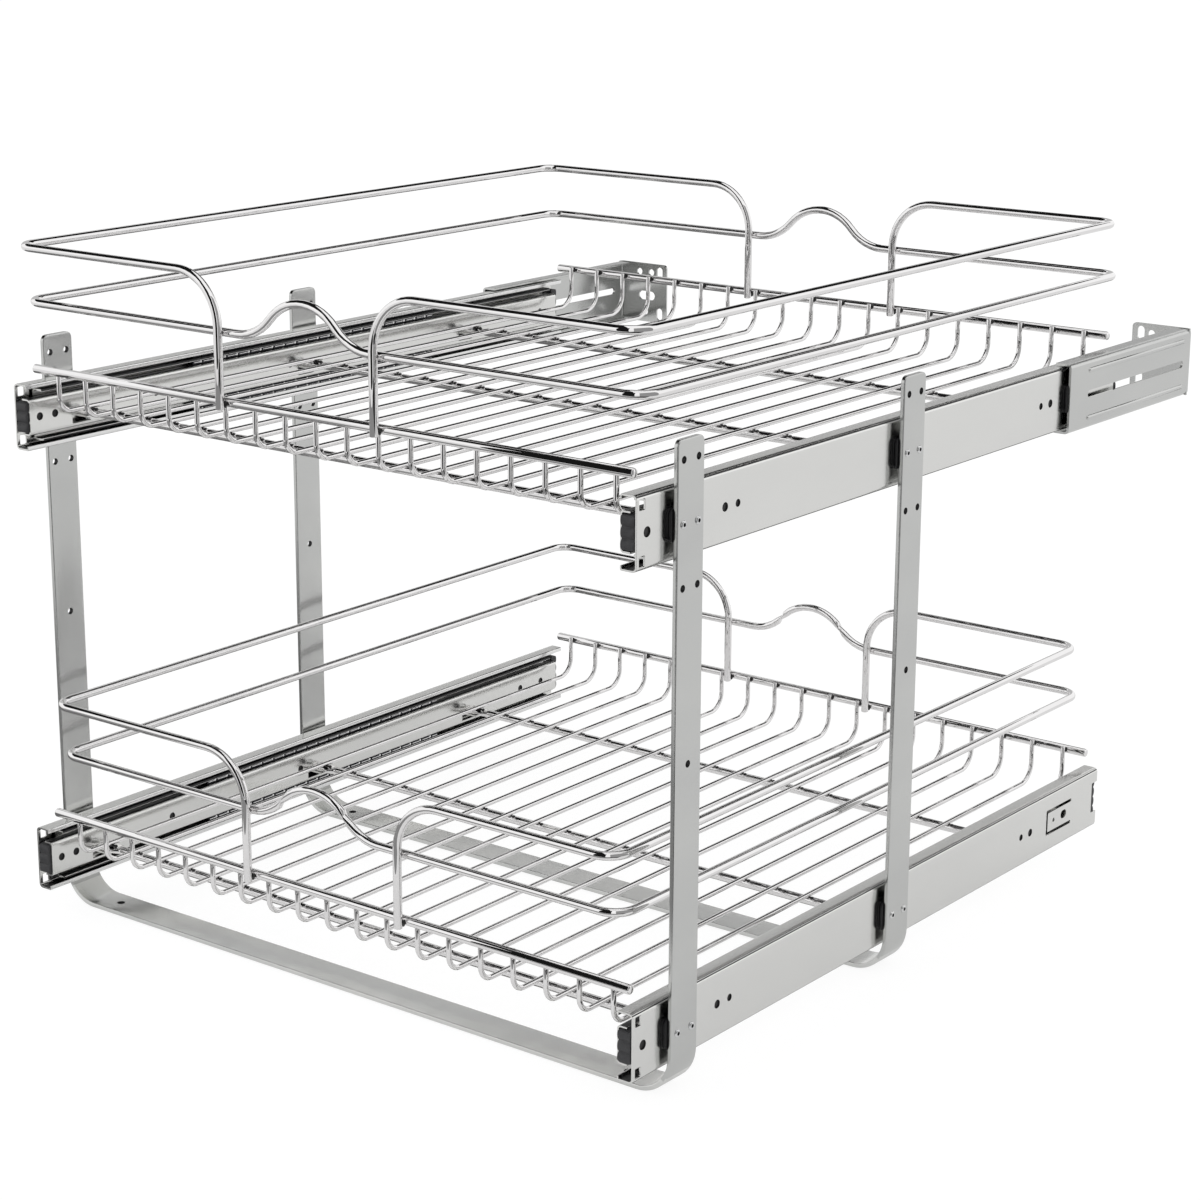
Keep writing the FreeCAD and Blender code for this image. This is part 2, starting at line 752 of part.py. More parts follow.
# The posts stand in front of both rims: the rails' runs lie one seat ahead of the rim rods
seat = s.rim_rod / 2 + s.rail_rod / 2 + s.weld_gap
rail_front_y = s.front_rim_y - seat
rail_rear_y = rear_rim_y - seat
middle_rail_step = s.rail_rod + s.weld_gap


def gallery_rail(tier, side):
    """Post, bend, front run, side, rear run, bend and post in one bent rod."""
    data = TIERS[tier]
    top = data.slide_z + s.rail_rise
    foot = data.slide_z + s.rim_rise - s.post_foot_drop
    if side == LEFT:
        front_x, rear_x = -data.front_post, -data.rear_post
    else:
        front_x, rear_x = data.rear_post, data.front_post
    side_x = side * data.rail_x
    points = [
        vec(front_x, rail_front_y, foot),
        vec(front_x, rail_front_y, top),
        vec(side_x, rail_front_y, top),
        vec(side_x, rail_rear_y, top),
        vec(rear_x, rail_rear_y, top),
        vec(rear_x, rail_rear_y, foot),
    ]
    radii = [0, s.post_bend, s.rail_corner, s.rail_corner, s.post_bend, 0]
    label = f"{tier}_{SIDE_NAMES[side]}_gallery_rail"
    return group(label, [swept(points, radii, s.rail_rod, s.rail_chord_turn)])


def hump(centre, y, base, direction):
    """Raised handle wave in the middle rail: corner points and bend radii."""
    tilt = 2 * math.atan(s.hump_height / s.hump_half_width)
    radius = s.hump_half_width / (2 * math.sin(tilt))
    flank = radius * (math.tan(tilt / 2) + math.tan(tilt))
    run = flank * math.cos(tilt) * direction
    points = [
        vec(centre - run, y, base),
        vec(centre, y, base + flank * math.sin(tilt)),
        vec(centre + run, y, base),
    ]
    return points, [radius, radius, radius]


def middle_rail(tier):
    """Closed loop round the basket behind the posts, with a wave at the front and at the rear."""
    data = TIERS[tier]
    z = data.slide_z + s.middle_rail_rise
    x = data.rail_x
    front = rail_front_y + middle_rail_step
    rear = rail_rear_y + middle_rail_step
    front_wave, front_radii = hump(-s.hump_offset, front, z, 1)
    rear_wave, rear_radii = hump(s.hump_offset, rear, z, -1)
    points = [vec(-x, front, z)] + front_wave + [vec(x, front, z), vec(x, rear, z)] + rear_wave
    points.append(vec(-x, rear, z))
    corner = s.rail_corner
    radii = [corner] + front_radii + [corner, corner] + rear_radii + [corner]
    return group(f"{tier}_middle_rail", [swept(points, radii, s.rail_rod, s.rail_chord_turn, True)])


# Frames
frame("front_frame", "front_frame_y")
frame("rear_frame", "rear_frame_y")

# Slides and what fastens them
spacers = []
rivets = []
for tier, data in TIERS.items():
    for side in (LEFT, RIGHT):
        outer_member(tier, side)
        middle_member(tier, side)
        inner_member(tier, side)
        ball_cage(tier, side, "outer")
        ball_cage(tier, side, "inner")
        bumper(tier, side)
        rear_stop(tier, side)
        for frame_y in (s.front_frame_y, s.rear_frame_y):
            spacers.append(spacer(side, frame_y - s.bar_width / 2 - s.spacer_lead, data.slide_z))
            for half in (-s.rivet_pair / 2, s.rivet_pair / 2):
                rivets.append(rivet(side, frame_y + half, data.slide_z))
group("frame_spacers", spacers)
group("frame_rivets", rivets)

# Rear brackets on the upper slides
for side in (LEFT, RIGHT):
    rear_bracket(side)
bracket_pad_y = s.slide_length - s.bracket_overlap - s.spacer_lead
group("bracket_spacers", [spacer(side, bracket_pad_y, upper_slide_z) for side in (LEFT, RIGHT)])

# Baskets
for tier, data in TIERS.items():
    columns = int(s.wire_count)
    wires = []
    for column in range(columns):
        x = (inner_web - s.wire_inset) * (2 * column / (columns - 1) - 1)
        wires.append(floor_wire(x, data.slide_z))
    group(f"{tier}_floor_wires", wires)
    rim_rod(f"{tier}_front_rim_rod", tier, "front_rim_y")
    rim_rod(f"{tier}_rear_rim_rod", tier, REAR_RIM)
    group(f"{tier}_cross_rods", [cross_rod(y, data.slide_z) for y in cross_rod_places])
    screws = [screw(side, y, data.slide_z) for side in (LEFT, RIGHT) for y in cross_rod_places]
    group(f"{tier}_basket_screws", screws)
    gallery_rail(tier, LEFT)
    gallery_rail(tier, RIGHT)
    middle_rail(tier)

doc.recompute()
for obj in doc.Objects:
    if "Invalid" in obj.State or "Error" in obj.State:
        raise RuntimeError(f"{obj.Label} did not compute: {obj.State}")
for node in nodes:
    if node.Shape.isNull() or not node.Shape.isValid():
        raise RuntimeError(f"{node.Label} has no valid shape")
for node in nodes:
    node.Shape.exportStep(f"parts/{node.Label}.step")
print(f"{len(nodes)} sub-parts written")
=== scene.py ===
import json
import math

import bmesh
import bpy
from mathutils import Matrix, Vector


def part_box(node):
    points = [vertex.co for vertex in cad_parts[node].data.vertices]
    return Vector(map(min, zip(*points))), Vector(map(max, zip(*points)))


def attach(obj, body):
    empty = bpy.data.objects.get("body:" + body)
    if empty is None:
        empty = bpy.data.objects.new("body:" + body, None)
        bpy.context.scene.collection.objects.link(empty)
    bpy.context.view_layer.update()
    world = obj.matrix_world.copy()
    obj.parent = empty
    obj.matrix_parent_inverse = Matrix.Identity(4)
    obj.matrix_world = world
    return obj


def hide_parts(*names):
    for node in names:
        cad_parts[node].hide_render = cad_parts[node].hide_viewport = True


# The looks of a two-tier pull-out wire basket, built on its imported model. Sizes are in millimetres
# and turn into metres where a mesh becomes an object. +X is right, +Y runs to the cabinet's back.

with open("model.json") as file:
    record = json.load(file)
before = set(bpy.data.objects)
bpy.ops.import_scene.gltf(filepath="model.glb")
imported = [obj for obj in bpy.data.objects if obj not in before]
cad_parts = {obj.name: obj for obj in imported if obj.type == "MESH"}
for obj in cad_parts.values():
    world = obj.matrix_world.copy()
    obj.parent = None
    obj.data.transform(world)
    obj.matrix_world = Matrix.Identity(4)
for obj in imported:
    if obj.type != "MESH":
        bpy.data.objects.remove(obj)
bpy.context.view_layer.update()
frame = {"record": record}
record = frame["record"]
MM = 0.001

TIERS = ("lower", "upper")
SIDES = {"left": -1, "right": 1}
BODY_OF = {node: body for body, nodes in record["behaviour"]["bodies"].items() for node in nodes}


def box(node):
    """Lowest and highest corner of a CAD node, in millimetres."""
    low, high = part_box(node)
    return low / MM, high / MM


def middle(node):
    low, high = box(node)
    return (low + high) / 2


# Places that the frame gives
OUTER, MIDDLE, INNER = (box(f"upper_right_{name}_member") for name in ("outer", "middle", "inner"))
SLIDE_Z = {tier: middle(f"{tier}_right_outer_member").z for tier in TIERS}
SLIDE_FRONT, SLIDE_REAR = OUTER[0].y, OUTER[1].y
OUTER_LIP, SLIDE_FACE = OUTER[0].x, OUTER[1].x
MIDDLE_LIP, MIDDLE_FACE = MIDDLE[0].x, MIDDLE[1].x
INNER_LIP, INNER_RISE = INNER[1].x, INNER[1].z - SLIDE_Z["upper"]
UPRIGHT_FACE, UPRIGHT_TOP = box("front_frame")[1].x, box("front_frame")[1].z
FRAME_Y = {place: middle(f"{place}_frame").y for place in ("front", "rear")}
RIM_Y = {place: middle(f"upper_{place}_rim_rod").y for place in ("front", "rear")}
RIM_HALF = box("upper_front_rim_rod")[1].x
RIM_RISE = middle("upper_front_rim_rod").z - SLIDE_Z["upper"]
ROD_RISE = middle("upper_cross_rods").z - SLIDE_Z["upper"]

# Stock sizes
SHEET = 1.2
BAR = 3.2
BAR_WIDTH = 25.0
WIRE = 3.4
RIM_ROD = 6.0
CROSS_ROD = 6.0
RAIL_ROD = 5.5
WELD_GAP = 0.2
WIRE_PITCH = 25.4
WIRE_COUNT = 19

# How round forms are made: degrees per step of a bend, sides of a ring and the least angle of an edge
BEND_STEP, CORNER_STEP, FAN_STEP = 7.5, 15, 15
HOLE_SIDES, TURNED_SIDES, RIB_SIDES, WIRE_SIDES, RAIL_SIDES, ROD_SIDES = 28, 24, 10, 12, 20, 24
SHARP_ANGLE = math.radians(38)

# Height of a rod end's crown as a share of its radius, and how far a cutter reaches past a face
END_CROWN = 0.35
PAST = 1


def bent(points, radii, closed=False, step=BEND_STEP):
    """Points along a line with a tangent arc at each corner that has a radius."""
    corners = [Vector(point).to_3d() for point in points]
    count = len(corners)
    path = []
    for i, (corner, radius) in enumerate(zip(corners, radii)):
        if radius <= 0 or (not closed and i in (0, count - 1)):
            path.append(corner)
            continue
        back = (corners[i - 1] - corner).normalized()
        ahead = (corners[(i + 1) % count] - corner).normalized()
        turn = math.pi - back.angle(ahead)
        outward = -(back + ahead).normalized()
        along = (ahead - back).normalized()
        centre = corner - outward * (radius / math.cos(turn / 2))
        steps = max(2, round(math.degrees(turn) / step))
        for k in range(steps + 1):
            angle = turn * (k / steps - 0.5)
            path.append(centre + outward * (radius * math.cos(angle)) + along * (radius * math.sin(angle)))
    return path


def rounded(points, radii):
    """Closed plane outline with rounded corners."""
    return bent(points, radii, closed=True, step=CORNER_STEP)


def cross(u, v, reach, half):
    """Outline of a cross recess."""
    quarter = [(reach, -half), (reach, half), (half, half)]
    turns = [(1, 0), (0, 1), (-1, 0), (0, -1)]
    return [(u + c * a - n * b, v + n * a + c * b) for c, n in turns for a, b in quarter]


def round_hole(u, v, diameter):
    angles = [math.tau * k / HOLE_SIDES for k in range(HOLE_SIDES)]
    return [(u + diameter / 2 * math.cos(a), v + diameter / 2 * math.sin(a)) for a in angles]


def block(u0, u1, v0, v1, radius=0.0):
    return rounded([(u0, v0), (u1, v0), (u1, v1), (u0, v1)], [radius] * 4)


def long_hole(u, v, length_u, length_v):
    """Slot whose shorter sides are half circles, less a hair so that no two arcs share a point."""
    hair = 0.01
    half = min(length_u, length_v) / 2 - hair
    return block(u - length_u / 2, u + length_u / 2, v - length_v / 2, v + length_v / 2, half)


TURNED = {
    "X": lambda u, v, w: (w, u, v),
    "Y": lambda u, v, w: (u, w, v),
    "Z": lambda u, v, w: (u, v, w),
}


def band(mesh, one, two, shift=0):
    """Faces between two rings of vertices; the shift turns the second ring."""
    count = len(one)
    for k in range(count):
        m = (k + 1) % count
        mesh.faces.new((one[k], one[m], two[(m + shift) % count], two[(k + shift) % count]))


def skin(mesh, rings):
    """Closed body through rings of vertices."""
    for one, two in zip(rings, rings[1:]):
        band(mesh, one, two)
    mesh.faces.new(rings[0])
    mesh.faces.new(rings[-1])


def ring(mesh, centre, across, up, radius, sides):
    angles = [math.tau * k / sides for k in range(sides)]
    return [mesh.verts.new(centre + (across * math.cos(a) + up * math.sin(a)) * radius) for a in angles]


def prism(mesh, outline, axis, low, high):
    """Closed prism on an outline of (Y, Z) points for axis X, (X, Z) for Y and (X, Y) for Z."""
    turned = TURNED[axis]
    skin(mesh, [[mesh.verts.new(turned(p[0], p[1], level)) for p in outline] for level in (low, high)])


def tube(mesh, path, radius, sides, closed=False):
    """Round rod along a path; an open rod's ends have a low crown."""
    count = len(path)
    links = count if closed else count - 1
    legs = [(path[(k + 1) % count] - path[k]).normalized() for k in range(links)]
    side = legs[0].orthogonal().normalized()
    stations = []
    for k in range(count):
        before = legs[k - 1] if k or closed else legs[0]
        after = legs[k] if k < links else legs[-1]
        heading = (before + after).normalized()
        side = (side - heading * side.dot(heading)).normalized()
        stations.append((path[k], heading, side.copy(), 1.0))
    if not closed:
        crown = [(share, END_CROWN * radius * math.sqrt(1 - share * share)) for share in (0.92, 0.72, 0.38)]
        first, last = stations[0], stations[-1]
        low = [(first[0] - first[1] * out, first[1], first[2], share) for share, out in reversed(crown)]
        high = [(last[0] + last[1] * out, last[1], last[2], share) for share, out in crown]
        stations = low + stations + high
    rings = [ring(mesh, at, across, heading.cross(across), radius * share, sides)
             for at, heading, across, share in stations]
    if not closed:
        skin(mesh, rings)
        return
    for one, two in zip(rings, rings[1:]):
        band(mesh, one, two)
    near = rings[-1][0].co + path[0] - path[-1]
    shift = min(range(sides), key=lambda n: (near - rings[0][n].co).length)
    band(mesh, rings[-1], rings[0], shift)


def turned_part(mesh, at, heading, profile):
    """Round part about an axis: the profile holds (radius, height) pairs."""
    heading = Vector(heading)
    side = heading.orthogonal().normalized()
    up = heading.cross(side)
    skin(mesh, [ring(mesh, Vector(at) + heading * height, side, up, radius, TURNED_SIDES)
                for radius, height in profile])


def blob(mesh, at, size):
    """Ball stretched along the axes, size being its half lengths."""
    made = bmesh.ops.create_icosphere(mesh, subdivisions=2, radius=1.0)["verts"]
    bmesh.ops.scale(mesh, vec=size, verts=made)
    bmesh.ops.translate(mesh, vec=at, verts=made)


def object_from(name, mesh):
    """Object from a mesh in millimetres."""
    bmesh.ops.recalc_face_normals(mesh, faces=mesh.faces)
    bmesh.ops.scale(mesh, vec=(MM, MM, MM), verts=mesh.verts)
    data = bpy.data.meshes.new(name)
    mesh.to_mesh(data)
    mesh.free()
    obj = bpy.data.objects.new(name, data)
    bpy.context.scene.collection.objects.link(obj)
    return obj


def combine(obj, other, operation):
    """Boolean of an object with another mesh."""
    tool = object_from(obj.name + "_tool", other)
    step = obj.modifiers.new("shape", "BOOLEAN")
    step.operation = operation
    step.solver = "EXACT"
    step.object = tool
    graph = bpy.context.evaluated_depsgraph_get()
    whole, spare = obj.data, tool.data
    made = bpy.data.meshes.new_from_object(obj.evaluated_get(graph))
    obj.modifiers.clear()
    obj.data = made
    bpy.data.objects.remove(tool)
    bpy.data.meshes.remove(whole)
    bpy.data.meshes.remove(spare)


def carve(obj, cutters):
    combine(obj, cutters, "DIFFERENCE")


def join(obj, added):
    combine(obj, added, "UNION")


def reopened(obj):
    """Copy of an object's mesh in millimetres."""
    mesh = bmesh.new()
    mesh.from_mesh(obj.data)
    bmesh.ops.scale(mesh, vec=[1 / MM] * 3, verts=mesh.verts)
    return mesh


def remake(obj, mesh):
    """Give an object a new mesh."""
    whole = object_from(obj.name.replace("_look", "_whole"), mesh)
    obj.data = whole.data
    bpy.data.objects.remove(whole)


def half_round(mesh, start, length, side, half_width, height):
    """Rib along +Y that sinks a little into a face that looks to the side, with tapered ends."""
    sink = 0.02
    taper = [(0, 0.05), (half_width * 0.4, 0.7), (half_width, 1.0)]
    arches = []
    for along, share in taper + [(length - along, share) for along, share in reversed(taper)]:
        arch = []
        for k in range(RIB_SIDES + 1):
            a = math.pi * k / RIB_SIDES
            out, across = height * share * math.sin(a) - sink, half_width * share * math.cos(a)
            arch.append(mesh.verts.new(start + Vector((side * out, along, across))))
        arches.append(arch)
    skin(mesh, arches)


def smooth(obj):
    obj.data.polygons.foreach_set("use_smooth", [True] * len(obj.data.polygons))
    obj.data.set_sharp_from_angle(angle=SHARP_ANGLE)


def soft_edges(obj, width, segments=2):
    """Roll every sharp edge over a little, as pressed and plated metal has it."""
    obj.data.polygons.foreach_set("use_smooth", [True] * len(obj.data.polygons))
    step = obj.modifiers.new("edges", "BEVEL")
    step.width = width * MM
    step.segments = segments
    step.limit_method = "ANGLE"
    step.angle_limit = SHARP_ANGLE
    step.harden_normals = True


def dress(obj, node, *materials):
    """Put a piece in a CAD node's place, on the node's body and with its finish."""
    for material in materials:
        obj.data.materials.append(material)
    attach(obj, BODY_OF[node])
    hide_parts(node)


def round_piece(node, mesh, *materials, first=None):
    """Piece of round forms; where a first face is given, the second material starts there."""
    obj = object_from(node + "_look", mesh)
    if first:
        for face in obj.data.polygons[first:]:
            face.material_index = 1
    smooth(obj)
    dress(obj, node, *materials)


# Materials
def blank_material(name, colour, metallic, roughness):
    """Material with its node tree and its shader."""
    material = bpy.data.materials.new(name)
    material.use_nodes = True
    shader = material.node_tree.nodes["Principled BSDF"]
    shader.inputs["Base Color"].default_value = (*colour, 1)
    shader.inputs["Metallic"].default_value = metallic
    shader.inputs["Roughness"].default_value = roughness
    return material, material.node_tree, shader


def noise(tree, scale, detail=4):
    """Noise in the object's own space; scale is waves per metre along X, Y and Z."""
    place = tree.nodes.new("ShaderNodeTexCoord")
    stretch = tree.nodes.new("ShaderNodeMapping")
    stretch.inputs["Scale"].default_value = scale
    texture = tree.nodes.new("ShaderNodeTexNoise")
    texture.inputs["Scale"].default_value = 1.0
    texture.inputs["Detail"].default_value = detail
    tree.links.new(place.outputs["Object"], stretch.inputs["Vector"])
    tree.links.new(stretch.outputs["Vector"], texture.inputs["Vector"])
    return texture.outputs["Fac"]


NOISE_LOW, NOISE_HIGH = 0.3, 0.7


def spread(tree, source, low, high):
    """Noise mapped on a range of numbers."""
    step = tree.nodes.new("ShaderNodeMapRange")
    step.inputs["From Min"].default_value = NOISE_LOW
    step.inputs["From Max"].default_value = NOISE_HIGH
    step.inputs["To Min"].default_value = low
    step.inputs["To Max"].default_value = high
    tree.links.new(source, step.inputs["Value"])
    return step.outputs["Result"]


def tint(tree, source, dark, light):
    """Noise mapped between two colours."""
    ramp = tree.nodes.new("ShaderNodeValToRGB")
    ramp.color_ramp.elements[0].position = NOISE_LOW
    ramp.color_ramp.elements[0].color = (*dark, 1)
    ramp.color_ramp.elements[1].position = NOISE_HIGH
    ramp.color_ramp.elements[1].color = (*light, 1)
    tree.links.new(source, ramp.inputs["Fac"])
    return ramp.outputs["Color"]


def relief(tree, shader, source, strength, depth):
    """Bump from noise; depth is in millimetres."""
    bump = tree.nodes.new("ShaderNodeBump")
    bump.inputs["Strength"].default_value = strength
    bump.inputs["Distance"].default_value = depth * MM
    tree.links.new(source, bump.inputs["Height"])
    tree.links.new(bump.outputs["Normal"], shader.inputs["Normal"])


def chrome(name, light, dark, roughness):
    """Plated wire: mirror-like, with slow changes of tone and haze along it."""
    tone_waves, haze_waves = [14] * 3, [40] * 3
    material, tree, shader = blank_material(name, light, 1.0, roughness)
    tree.links.new(tint(tree, noise(tree, tone_waves, 2), dark, light), shader.inputs["Base Color"])
    haze = spread(tree, noise(tree, haze_waves, 3), roughness * 0.6, roughness * 1.5)
    tree.links.new(haze, shader.inputs["Roughness"])
    return material


def plated(name, light, dark, roughness, grain, cloud=(22, 9, 22)):
    """Zinc-plated steel: soft clouds in the colour and fine lines along the rolling direction."""
    material, tree, shader = blank_material(name, light, 1.0, roughness)
    tree.links.new(tint(tree, noise(tree, cloud), dark, light), shader.inputs["Base Color"])
    lines = noise(tree, grain, 5)
    tree.links.new(spread(tree, lines, roughness * 0.9, roughness * 1.12), shader.inputs["Roughness"])
    relief(tree, shader, lines, 0.03, 0.006)
    return material


def moulded(name, light, dark, roughness, grain, depth, gloss=0.5):
    """Rubber or plastic with a fine grain."""
    tone_waves = [300] * 3
    material, tree, shader = blank_material(name, light, 0.0, roughness)
    shader.inputs["Specular IOR Level"].default_value = gloss
    tree.links.new(tint(tree, noise(tree, tone_waves), dark, light), shader.inputs["Base Color"])
    speckle = noise(tree, [grain] * 3)
    tree.links.new(spread(tree, speckle, roughness * 0.85, roughness * 1.1), shader.inputs["Roughness"])
    relief(tree, shader, speckle, 0.4, depth)
    return material


# Waves of the grain per metre, across and along the rolling direction
FINE, LONG = 1400, 7
WIRE_CHROME = chrome("wire_chrome", (0.90, 0.89, 0.89), (0.86, 0.85, 0.85), 0.018)
# Near-black for the weld beads: painted shade at the joints of wires and rods
WELD_SHADE_METAL = chrome("weld_shade_metal", (0.10, 0.10, 0.10), (0.04, 0.04, 0.04), 0.20)
# Steel of the balls, which also colours the thin bright strips on the cage lips: painted highlights
BALL_AND_GLINT_STEEL = chrome("ball_and_glint_steel", (0.90, 0.90, 0.90), (0.82, 0.82, 0.83), 0.05)
SLIDE_ZINC = plated("slide_zinc", (0.83, 0.83, 0.812), (0.795, 0.795, 0.78), 0.19, (FINE, LONG, FINE))
# Lighter, glossier copy of the slide zinc for the legs' edges: painted highlight
LIP_HIGHLIGHT_ZINC = plated("lip_highlight_zinc", (0.93, 0.93, 0.92), (0.88, 0.88, 0.88), 0.16, (FINE, LONG, FINE))
UPRIGHT_ZINC = plated("upright_zinc", (0.655, 0.66, 0.648), (0.612, 0.617, 0.61), 0.20, (FINE, FINE, LONG))
# Lighter copy of the upright zinc for the bar's floor part, which faces up: painted light
FLOOR_BAR_LIT_ZINC = plated("floor_bar_lit_zinc", (0.87, 0.87, 0.85), (0.73, 0.74, 0.73), 0.24,
                        (LONG, 500, 500), (7, 40, 40))
# Near-black for the ball tracks, hole walls, rivet pits and frame holes: painted shade
PAINTED_SHADE_BLACK = moulded("painted_shade_black", (0.012, 0.012, 0.013), (0.006, 0.006, 0.007), 0.45, 900, 0.01)
# Near-black for the cage strips: painted shade in the gaps between the slide's members
CAGE_SHADE_STRIP = plated("cage_steel", (0.05, 0.05, 0.055), (0.03, 0.03, 0.035), 0.35, (FINE, LONG, FINE))
FASTENER_ZINC = plated("fastener_zinc", (0.80, 0.80, 0.79), (0.68, 0.69, 0.70), 0.14, (600, 600, 600))
PAD_PLASTIC = moulded("pad_plastic", (0.010, 0.010, 0.011), (0.006, 0.006, 0.007), 0.16, 1800, 0.01, 0.2)
STOP_RUBBER = moulded("stop_rubber", (0.055, 0.055, 0.058), (0.038, 0.038, 0.041), 0.62, 1500, 0.03)


# Slides
LIP_EDGE, CURL_CORNER, CURL_EDGE = 0.3, 1.0, 0.35
CURL_SHEET = SHEET * 0.85


def channel(face, lip, rise, corner, curl=0.0):
    """C section about the height 0; its legs may turn in at the lips by the curl."""
    toward_web = math.copysign(1.0, face - lip)
    inside = face - toward_web * SHEET
    neck = lip + toward_web * CURL_SHEET
    top = rise - SHEET
    inner_corner = max(corner - SHEET, LIP_EDGE)
    if curl:
        lower_leg = [(lip, -rise), (lip, -top + curl), (neck, -top + curl), (neck, -top)]
        leg_radii = [CURL_CORNER, CURL_EDGE, LIP_EDGE, LIP_EDGE]
    else:
        lower_leg = [(lip, -rise), (lip, -top)]
        leg_radii = [LIP_EDGE, LIP_EDGE]
    upper_leg = [(x, -z) for x, z in reversed(lower_leg)]
    points = [(face, rise), (face, -rise)] + lower_leg + [(inside, -top), (inside, top)] + upper_leg
    radii = [corner, corner] + leg_radii + [inner_corner] * 2 + leg_radii[::-1]
    return rounded(points, radii)


def lifted(outline, z):
    """Outline with its second coordinates raised by z."""
    return [(p[0], p[1] + z) for p in outline]


# Limits that tell the faces of tracks, lips and holes: areas in square metres, the rest in millimetres
TRACK_AREA, HOLE_AREA = 2e-6, 40e-6
TRACK_NEAR, LIP_NEAR, HOLE_NEAR = 0.1, 1.1, 0.05


def paint_track_shade(obj, z, low, high):
    """Painted shade on the ball tracks, which lie between two heights over and under the middle: near-black
    where the gaps between members are in shade.
    """
    for face in obj.data.polygons:
        height = abs(face.center.z / MM - z)
        if low - TRACK_NEAR <= height <= high + TRACK_NEAR and face.area > TRACK_AREA:
            face.material_index = 1


def paint_lip_highlight(obj, z, low, x):
    """Painted highlight for the legs' edges, which face the open side at x: a lighter copy of the slide's
    zinc.
    """
    for face in obj.data.polygons:
        at = face.center / MM
        if abs(at.x - x) < LIP_NEAR and abs(at.z - z) > low and face.material_index == 0:
            face.material_index = 2


def paint_hole_shade(obj, holes, index):
    """Painted shade on the walls and floors of round holes along X, given as (Y, Z, diameter)."""
    for face in obj.data.polygons:
        at = face.center / MM
        for y, z, diameter in holes:
            if math.hypot(at.y - y, at.z - z) < diameter / 2 + HOLE_NEAR and face.area < HOLE_AREA:
                face.material_index = index


# Distances behind the slides' front ends, then a hole's rise where it has one, and its diameter or lengths
MEMBER_HOLES = ((9.5, 6.2), (84.0, 5.5), (96.8, 4.6), (463.0, 5.5), (450.2, 4.6))
TIP_SLOT, NECK_HOLE = (511.0, 0.5, 8.0, 6.0), (496.6, 0.0, 3.0)
HOLE_DEPTH = 0.95
OUTER_CORNER, OUTER_CURL, OUTER_LIP_RISE = 3.0, 1.9, 4.0
MIDDLE_CORNER, MIDDLE_CURL, MIDDLE_LIP_RISE = 2.4, 0.5, 3.0
WINDOW_Y, WINDOW_RISE, WINDOW_WIDTH, WINDOW_HEIGHT, WINDOW_CORNER = 2.2, 13.0, 5.4, 6.4, 0.7
TONGUE_FRONT, TONGUE_REAR, TONGUE_HALF, TONGUE_SLOT = 486.0, 522.0, 9.3, 2.2
TONGUE_RADII = [0.8, 1.0, 1.0, 0.4, 0.4, 1.0, 1.0, 0.8]
NOTCH_DEPTH, NOTCH_RISE, NOTCH_DROP, NOTCH_CORNER, NOTCH_PAST = 7.5, 12.0, -10.5, 1.0, 4.0


def outer_member(tier, side_name):
    """Fixed member with its punched web, the freed tongue and the stepped rear end."""
    node = f"{tier}_{side_name}_outer_member"
    side = SIDES[side_name]
    z = SLIDE_Z[tier]
    rise = box(node)[1].z - z
    mesh = bmesh.new()
    section = channel(side * SLIDE_FACE, side * OUTER_LIP, rise, OUTER_CORNER, OUTER_CURL)
    prism(mesh, lifted(section, z), "Y", SLIDE_FRONT, SLIDE_REAR)
    obj = object_from(node + "_look", mesh)

    cut = bmesh.new()
    through = sorted((side * (SLIDE_FACE + PAST), side * (SLIDE_FACE - SHEET - PAST)))
    depth = sorted((side * (SLIDE_FACE + PAST), side * (SLIDE_FACE - HOLE_DEPTH)))
    holes = [(SLIDE_FRONT + y, z, diameter) for y, diameter in MEMBER_HOLES]
    for hole in holes:
        prism(cut, round_hole(*hole), "X", *depth)
    start = SLIDE_FRONT + WINDOW_Y
    outlines = [block(start, start + WINDOW_WIDTH, bottom, bottom + WINDOW_HEIGHT, WINDOW_CORNER)
                for bottom in (z + WINDOW_RISE, z - WINDOW_RISE - WINDOW_HEIGHT)]
    front, rear = SLIDE_FRONT + TONGUE_FRONT, SLIDE_FRONT + TONGUE_REAR
    neck, half = front + TONGUE_SLOT, TONGUE_HALF
    inner_half = half - TONGUE_SLOT
    slot = [(front, z - half), (rear, z - half), (rear, z - inner_half), (neck, z - inner_half),
            (neck, z + inner_half), (rear, z + inner_half), (rear, z + half), (front, z + half)]
    outlines.append(rounded(slot, TONGUE_RADII))
    y, up, *size = TIP_SLOT
    outlines.append(long_hole(SLIDE_FRONT + y, z + up, *size))
    y, up, diameter = NECK_HOLE
    outlines.append(round_hole(SLIDE_FRONT + y, z + up, diameter))
    outlines.append(block(SLIDE_REAR - NOTCH_DEPTH, SLIDE_REAR + NOTCH_PAST,
                          z + NOTCH_DROP, z + NOTCH_RISE, NOTCH_CORNER))
    for outline in outlines:
        prism(cut, outline, "X", *through)
    carve(obj, cut)
    # Painted shade on the ball tracks and in the holes, painted highlight on the legs' edges
    paint_track_shade(obj, z, rise - SHEET, rise - SHEET)
    paint_lip_highlight(obj, z, rise - OUTER_LIP_RISE, side * OUTER_LIP)
    paint_hole_shade(obj, holes, 1)
    soft_edges(obj, 0.18)
    dress(obj, node, SLIDE_ZINC, PAINTED_SHADE_BLACK, LIP_HIGHLIGHT_ZINC)


